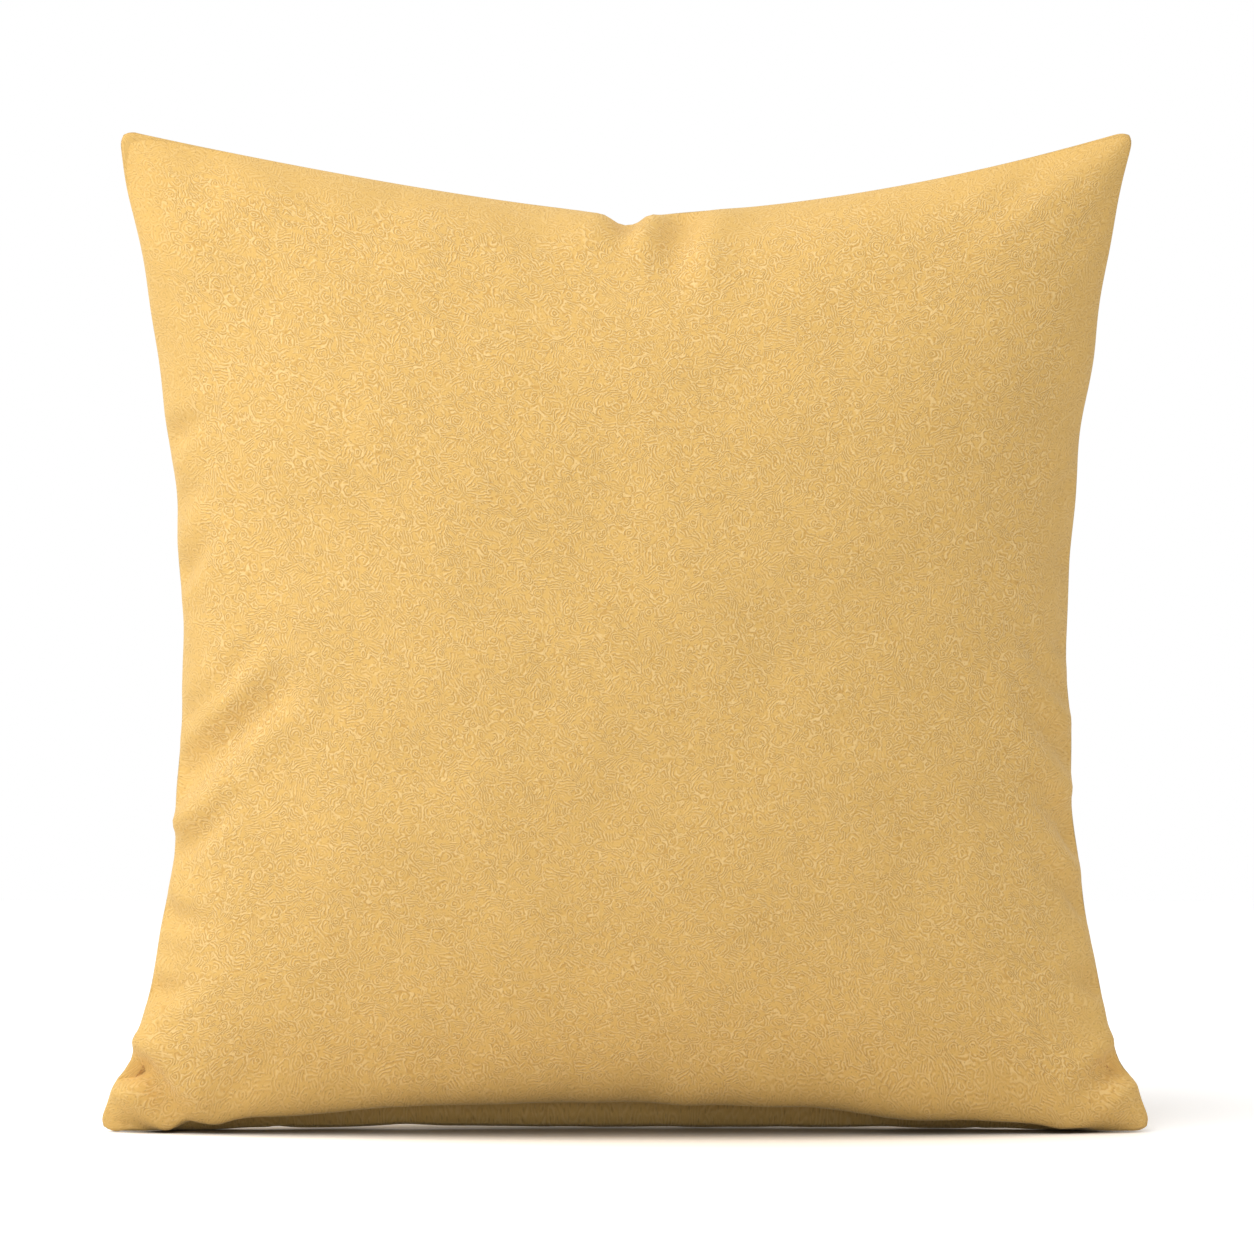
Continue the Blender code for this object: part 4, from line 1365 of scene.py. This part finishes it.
class PILLOW_OT_zip_tapes(bpy.types.Operator):
    """Weave the two tapes and sew them to the cover"""

    bl_idname = "pillow.zip_tapes"
    bl_label = "Zip tapes"

    def execute(self, context):
        columns = zip_columns()
        look = woven_material("zip_tape", tuple(context.scene.pillow_zip.tape_colour), 0.35 * MM)
        depth = context.scene.pillow_cover.cloth + 0.9 * MM
        for side, end in ((FRONT, "front"), (BACK, "back")):
            routes = [tape_route(side, column, depth) for column in columns]
            bm = bmesh.new()
            grid_sheet(bm, len(routes[0]), len(columns), lambda row, column: routes[column][row])
            tape = finished(f"zip_tape_{end}_cloth", bm, "pillow", look, [f"zip_tape_{end}"])
            thicken(tape, 0.5 * MM, offset=0)
            subdivide(tape)
            self.sew(side, end, columns, depth)
        return {"FINISHED"}

    def sew(self, side, end, columns, depth):
        """Two rows of stitches through the tape."""
        bm = bmesh.new()
        for row in (5, 7):
            line = [inside(side, row, column, depth + 0.45 * MM) for column in columns]
            stitch_row(bm, line, 2.6 * MM, 0.35 * MM)
        finished(f"zip_stitching_{end}", bm, "pillow", cover_thread(), [f"zip_stitch_{end}"])


class PILLOW_OT_zip_teeth(bpy.types.Operator):
    """Mould the teeth of both rows on their spines"""

    bl_idname = "pillow.zip_teeth"
    bl_label = "Zip teeth"

    def execute(self, context):
        finish = context.scene.pillow_zip
        for sign, end in ((-1, "front"), (1, "back")):
            low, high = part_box(f"zip_teeth_{end}")
            start = low.x + (1.0 if sign > 0 else 2.0) * MM
            count = int((high.x - start - 1 * MM) / finish.tooth_pitch)
            tooth = bmesh.new()
            self.tooth(tooth, low, high, sign)
            bm = bmesh.new()
            places = [Matrix.Translation((start + n * finish.tooth_pitch, 0, 0)) for n in range(count)]
            repeated(bm, tooth, places)
            self.spine(bm, low, high, sign)
            node = f"zip_teeth_{end}"
            finished(node + "_row", bm, "pillow", teeth_material(finish), [node])
        return {"FINISHED"}

    def spine(self, bm, low, high, sign):
        """The corded edge of the tape that the teeth grip."""
        near, far = sorted((sign * 1.1 * MM, sign * (2.2 * MM)))
        block(bm, (low.x, near, low.z + 0.35 * MM), (high.x, far, high.z - 0.35 * MM), 0.2 * MM)

    def tooth(self, bm, low, high, sign):
        """A leg on the spine and a head past the middle."""
        leg, head = 0.42 * MM, 0.36 * MM
        near, far = sorted((sign * 2.05 * MM, sign * 0.1 * MM))
        block(bm, (-leg, near, low.z + 0.12 * MM), (leg, far, high.z - 0.12 * MM), 0.14 * MM)
        near, far = sorted((sign * 0.3 * MM, -sign * 0.7 * MM))
        block(bm, (-head, near, low.z + 0.04 * MM), (head, far, high.z - 0.04 * MM), 0.14 * MM)


class PILLOW_OT_zip_ends(bpy.types.Operator):
    """Crimp the stops on the tapes and tack the slit's two ends"""

    bl_idname = "pillow.zip_ends"
    bl_label = "Zip ends"

    def execute(self, context):
        for node in ("zip_top_stop_front", "zip_top_stop_back", "zip_bottom_stop"):
            low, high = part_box(node)
            bm = bmesh.new()
            block(bm, low, high, 0.3 * MM)
            finished(node + "_crimped", bm, "pillow", zip_metal(), [node])
        for end in ("left", "right"):
            self.tack(f"zip_end_tack_{end}")
        return {"FINISHED"}

    def tack(self, node):
        """A bar tack: close stitches across the slit, over two threads that run along it."""
        low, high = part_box(node)
        middle = (low + high) / 2
        thread, pitch = 0.4 * MM, 0.25 * MM
        spans = []
        for number in range(int((high.x - low.x) / pitch)):
            x = low.x + (number + 0.5) * pitch
            reach = (high.y - low.y) / 2 * (0.95 if number % 2 else 0.88)
            spans.append(((x, -reach, middle.z), (x, reach, middle.z)))
        bm = bmesh.new()
        stitches(bm, spans, thread)
        finished(node + "_stitches", bm, "pillow", cover_thread(), [node])


def merged_copy(node):
    """A copy of a frame node's mesh with its loose triangles joined into clean faces."""
    bm = bmesh.new()
    bm.from_mesh(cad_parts[node].data)
    bmesh.ops.remove_doubles(bm, verts=bm.verts, dist=1e-6)
    bmesh.ops.dissolve_limit(bm, angle_limit=math.radians(1), verts=bm.verts, edges=bm.edges)
    return bm


def soften_edges(bm, radius):
    sharp = [edge for edge in bm.edges if edge.calc_face_angle(0) > math.radians(30)]
    bevelled(bm, sharp, radius, clamp_overlap=True)


class PILLOW_OT_slider(bpy.types.Operator):
    """Cast the slider that opens and closes the zip"""

    bl_idname = "pillow.slider"
    bl_label = "Zip slider"

    def execute(self, context):
        bm = merged_copy("zip_slider")
        soften_edges(bm, 0.12 * MM)
        finished("zip_slider_body", bm, "slider", zip_metal(), ["zip_slider"])
        return {"FINISHED"}


class PILLOW_OT_pull(bpy.types.Operator):
    """Cast the pull tab on the slider's pin"""

    bl_idname = "pillow.pull"
    bl_label = "Pull tab"

    def execute(self, context):
        low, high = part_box("zip_pull")
        bm = merged_copy("zip_pull")
        tips = [
            edge
            for edge in bm.edges
            if all(vert.co.x < low.x + 0.01 * MM for vert in edge.verts)
            and abs(edge.verts[0].co.z - edge.verts[1].co.z) > 0.5 * MM
        ]
        bevelled(bm, tips, 1.4 * MM, segments=5)
        soften_edges(bm, 0.1 * MM)
        finished("zip_pull_tab", bm, "pull", zip_metal(), ["zip_pull"])
        return {"FINISHED"}


# --- The inner pad --------------------------------------------------------------------------------------


def lines_within(inset):
    """First and last line of the net that lie at least inset from the edge."""
    kept = np.flatnonzero((1 - np.abs(LINES)) * FRAME_WIDTH / 2 >= inset)
    return int(kept[0]), int(kept[-1])


def layer_points(side, inset, depth):
    """The cover's surface inside a border, moved in by depth."""
    first, last = lines_within(inset)
    cover, normals = soft_shape["cover"][side], soft_shape["normals"][side]
    return (cover - normals * depth)[first : last + 1, first : last + 1]


def softened(points, rounds):
    """Evens out small folds, which the stiffer inner layers don't take up. The border stays."""
    points = points.copy()
    for _ in range(rounds):
        inner = points[:-2, 1:-1] + points[2:, 1:-1] + points[1:-1, :-2] + points[1:-1, 2:]
        points[1:-1, 1:-1] = inner / 4
    return points


def walled_sheet(points, side, walls):
    """A sheet through the points whose border goes on through the walls, each (inset, half gap or share)."""
    count = len(points)
    bm = bmesh.new()
    grid_sheet(bm, count, count, lambda row, column: points[row, column])
    row_of, column_of = bm.verts.layers.int["row"], bm.verts.layers.int["column"]
    border = [edge for edge in bm.edges if edge.is_boundary]
    sign = OUTWARD[side]
    for inset, share, half_gap in walls:
        border, added = grow_border(bm, border)
        for vert in added:
            row, column = vert[row_of], vert[column_of]
            start = points[row, column]
            x, z = start[0], start[2]
            if column in (0, count - 1):
                x -= inset * (1 if column else -1)
            if row in (0, count - 1):
                z -= inset * (1 if row else -1)
            vert.co = (x, sign * half_gap + start[1] * share, z)
    return bm


PAD_WALLS = (
    (-1.2 * MM, 0.66, 0.0),
    (-1.2 * MM, 0.30, 0.0),
    (0.0, 0.0, SEAM_HALF_GAP),
    (2.5 * MM, 0.0, SEAM_HALF_GAP),
    (5.0 * MM, 0.0, SEAM_HALF_GAP),
)


def pad_places(side, pad):
    depth = bpy.context.scene.pillow_cover.cloth + pad.gap
    return softened(layer_points(side, PAD_INSET, depth), 3)


class PILLOW_OT_pad(bpy.types.Operator):
    """Sew the inner pad's case"""

    bl_idname = "pillow.pad"
    bl_label = "Inner pad"

    def execute(self, context):
        pad = context.scene.pillow_pad
        look = woven_material("pad_cloth", tuple(pad.colour), 0.30 * MM)
        for side, name in ((FRONT, "pad_front_shell"), (BACK, "pad_back_shell")):
            bm = walled_sheet(pad_places(side, pad), side, PAD_WALLS)
            piece = finished(name + "_cloth", bm, "pillow", look, [name], side=side)
            thicken(piece, pad.cloth)
            subdivide(piece)
        return {"FINISHED"}


class PILLOW_OT_pad_seam(bpy.types.Operator):
    """Sew the pad's seam and close its filling hole by hand"""

    bl_idname = "pillow.pad_seam"
    bl_label = "Pad seam"

    def execute(self, context):
        points = pad_places(FRONT, context.scene.pillow_pad)
        count = len(points)
        middle_gap = ZIP_HALF - 4 * MM
        lower = [(0, column) for column in range(count)]
        left = [spot for spot in lower if points[spot][0] < -middle_gap][::-1]
        right = [spot for spot in lower if points[spot][0] > middle_gap][::-1]
        route = left + [(row, 0) for row in range(1, count)]
        route += [(count - 1, column) for column in range(1, count)]
        route += [(row, count - 1) for row in range(count - 2, -1, -1)] + right[1:]
        line = []
        for row, column in route:
            x, _, z = points[row, column]
            x -= 1.6 * MM * ((column == count - 1) - (column == 0))
            z -= 1.6 * MM * ((row == count - 1) - (row == 0))
            line.append((x, 0, z))
        bm = bmesh.new()
        stitch_row(bm, line, 2.6 * MM, 0.4 * MM)
        finished("pad_seam_stitches", bm, "pillow", pad_thread(), ["pad_seam_thread"])
        self.close_by_hand(points[0, count // 2][2])
        return {"FINISHED"}

    def close_by_hand(self, height):
        """A ladder of slanting stitches under the pad's lower edge."""
        low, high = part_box("pad_closing_stitch")
        turns = 28
        corners = [
            (low.x + (high.x - low.x) * turn / turns, 1.5 * MM * (-1) ** turn, height - 0.6 * MM)
            for turn in range(turns + 1)
        ]
        bm = bmesh.new()
        stitches(bm, zip(corners[:-1], corners[1:]), 0.5 * MM)
        finished("pad_closing_stitches", bm, "pillow", pad_thread(), ["pad_closing_stitch"])


class PILLOW_OT_filling(bpy.types.Operator):
    """Stuff the pad with fibre"""

    bl_idname = "pillow.filling"
    bl_label = "Fibre filling"

    def execute(self, context):
        pad, cover = context.scene.pillow_pad, context.scene.pillow_cover
        depth = cover.cloth + pad.gap + pad.cloth + pad.gap
        halves = [softened(layer_points(side, FILLING_INSET, depth), 6) for side in (FRONT, BACK)]
        count = len(halves[FRONT])
        bm = bmesh.new()
        for half in halves:
            grid_sheet(bm, count, count, lambda row, column: half[row, column])
        rims = [edge for edge in bm.edges if edge.is_boundary]
        bmesh.ops.bridge_loops(bm, edges=rims)
        look = fibre_material(tuple(pad.colour))
        piece = finished("fibre_filling_body", bm, "pillow", look, ["fibre_filling"])
        subdivide(piece)
        return {"FINISHED"}


# --- The stage ------------------------------------------------------------------------------------------


SOFTBOX_SIZE = 1.2
FLOOR_HALF_SIZE = 1.6

# The floor near the pillow and away from it: as the camera sees it, and as it lights the cloth. Near the
# pillow both are painted shadow: dark brown for the camera, nearly black for the light it bounces.
SEEN_PAINTED_SHADOW, SEEN_AWAY = (0.30, 0.24, 0.16, 1), (1.3, 1.3, 1.3, 1)
BOUNCE_PAINTED_SHADE, LIT_AWAY = (0.04, 0.04, 0.04, 1), (0.88, 0.88, 0.88, 1)
PAINTED_SHADOW_REACH = 0.05


class PILLOW_OT_stage(bpy.types.Operator):
    """Set the floor, the lights and the camera"""

    bl_idname = "pillow.stage"
    bl_label = "Stage"

    def execute(self, context):
        scene, settings = context.scene, context.scene.pillow_stage
        self.floor()
        self.sky(scene, settings)
        self.lamp(scene, "left_softbox", (-1.85, -0.3, 0.9), settings.left_power)
        self.lamp(scene, "top_softbox", (-0.7, -0.75, 2.0), settings.top_power)
        self.lamp(scene, "front_softbox", (-0.2, -2.3, 1.0), settings.front_power)
        self.camera(scene, settings)
        scene.view_settings.view_transform = "Standard"
        return {"FINISHED"}

    def floor(self):
        bm = bmesh.new()
        bmesh.ops.create_grid(bm, x_segments=1, y_segments=1, size=FLOOR_HALF_SIZE)
        mesh = bpy.data.meshes.new("floor")
        bm.to_mesh(mesh)
        bm.free()
        floor = bpy.data.objects.new("floor", mesh)
        bpy.context.scene.collection.objects.link(floor)
        made, nodes, shader = new_material("white_floor_painted_shadow", 0.9)
        seen = nodes.add("ShaderNodeLightPath").outputs["Is Camera Ray"]
        # Painted shadow: ambient occlusion darkens the floor's colour near the pillow, for the camera and for
        # light bounced onto the cloth
        contact = nodes.add("ShaderNodeAmbientOcclusion", {"Distance": PAINTED_SHADOW_REACH}, samples=16)
        painted_shadow_mask = contact.outputs["AO"]
        shown = nodes.mix(nodes.ramp(painted_shadow_mask, 0.05, 0.50), SEEN_PAINTED_SHADOW, SEEN_AWAY)
        lit = nodes.mix(nodes.ramp(painted_shadow_mask, 0.15, 0.60), BOUNCE_PAINTED_SHADE, LIT_AWAY)
        nodes.join(nodes.mix(seen, lit, shown), shader.inputs["Base Color"])
        shader.inputs["Specular IOR Level"].default_value = 0.0
        mesh.materials.append(made)

    def sky(self, scene, settings):
        """Even white light, seen by the camera as plain white."""
        world = bpy.data.worlds.new("studio")
        scene.world = world
        world.use_nodes = True
        nodes = Nodes(world.node_tree)
        seen = nodes.add("ShaderNodeLightPath").outputs["Is Camera Ray"]
        strength = nodes.add(
            "ShaderNodeMapRange", {"Value": seen, "To Min": settings.sky, "To Max": 1.0}
        ).outputs[0]
        light = world.node_tree.nodes["Background"]
        light.inputs["Color"].default_value = (1, 1, 1, 1)
        nodes.join(strength, light.inputs["Strength"])

    def lamp(self, scene, name, place, power):
        data = bpy.data.lights.new(name, "AREA")
        data.energy = power
        data.size = SOFTBOX_SIZE
        lamp = bpy.data.objects.new(name, data)
        lamp.location = place
        target = Vector((0, 0, FRAME_HEIGHT / 2))
        lamp.rotation_euler = (target - Vector(place)).to_track_quat("-Z", "Y").to_euler()
        scene.collection.objects.link(lamp)

    def camera(self, scene, settings):
        """A level view of the front at half the pillow's height."""
        data = bpy.data.cameras.new("front_view")
        data.lens = settings.camera_distance / settings.view_width * data.sensor_width
        camera = bpy.data.objects.new("front_view", data)
        camera.location = (0.8 * MM, -settings.camera_distance, 210.4 * MM)
        camera.rotation_euler = (math.pi / 2, 0, 0)
        scene.collection.objects.link(camera)
        scene.camera = camera


# --- The add-on -----------------------------------------------------------------------------------------

OPERATORS = (
    PILLOW_OT_cover,
    PILLOW_OT_cover_seam,
    PILLOW_OT_zip_tapes,
    PILLOW_OT_zip_teeth,
    PILLOW_OT_zip_ends,
    PILLOW_OT_slider,
    PILLOW_OT_pull,
    PILLOW_OT_pad,
    PILLOW_OT_pad_seam,
    PILLOW_OT_filling,
    PILLOW_OT_labels,
    PILLOW_OT_stage,
)


class PILLOW_PT_panel(bpy.types.Panel):
    """The pillow's sizes, colours and steps"""

    bl_idname = "PILLOW_PT_panel"
    bl_label = "Throw pillow"
    bl_space_type = "VIEW_3D"
    bl_region_type = "UI"
    bl_category = "Pillow"

    def draw(self, context):
        for operator in OPERATORS:
            self.layout.operator(operator.bl_idname)
        for name, kind in SETTINGS.items():
            box = self.layout.box()
            box.label(text=kind.__doc__)
            for value in kind.__annotations__:
                box.prop(getattr(context.scene, name), value)


def register():
    for kind in (*SETTINGS.values(), *OPERATORS, PILLOW_PT_panel):
        bpy.utils.register_class(kind)
    for name, kind in SETTINGS.items():
        setattr(bpy.types.Scene, name, PointerProperty(type=kind))


def unregister():
    for name in SETTINGS:
        delattr(bpy.types.Scene, name)
    for kind in (PILLOW_PT_panel, *reversed(OPERATORS), *reversed(tuple(SETTINGS.values()))):
        bpy.utils.unregister_class(kind)


def main():
    register()
    for operator in OPERATORS:
        group, name = operator.bl_idname.split(".")
        getattr(getattr(bpy.ops, group), name)()


if __name__ == "__main__":
    main()
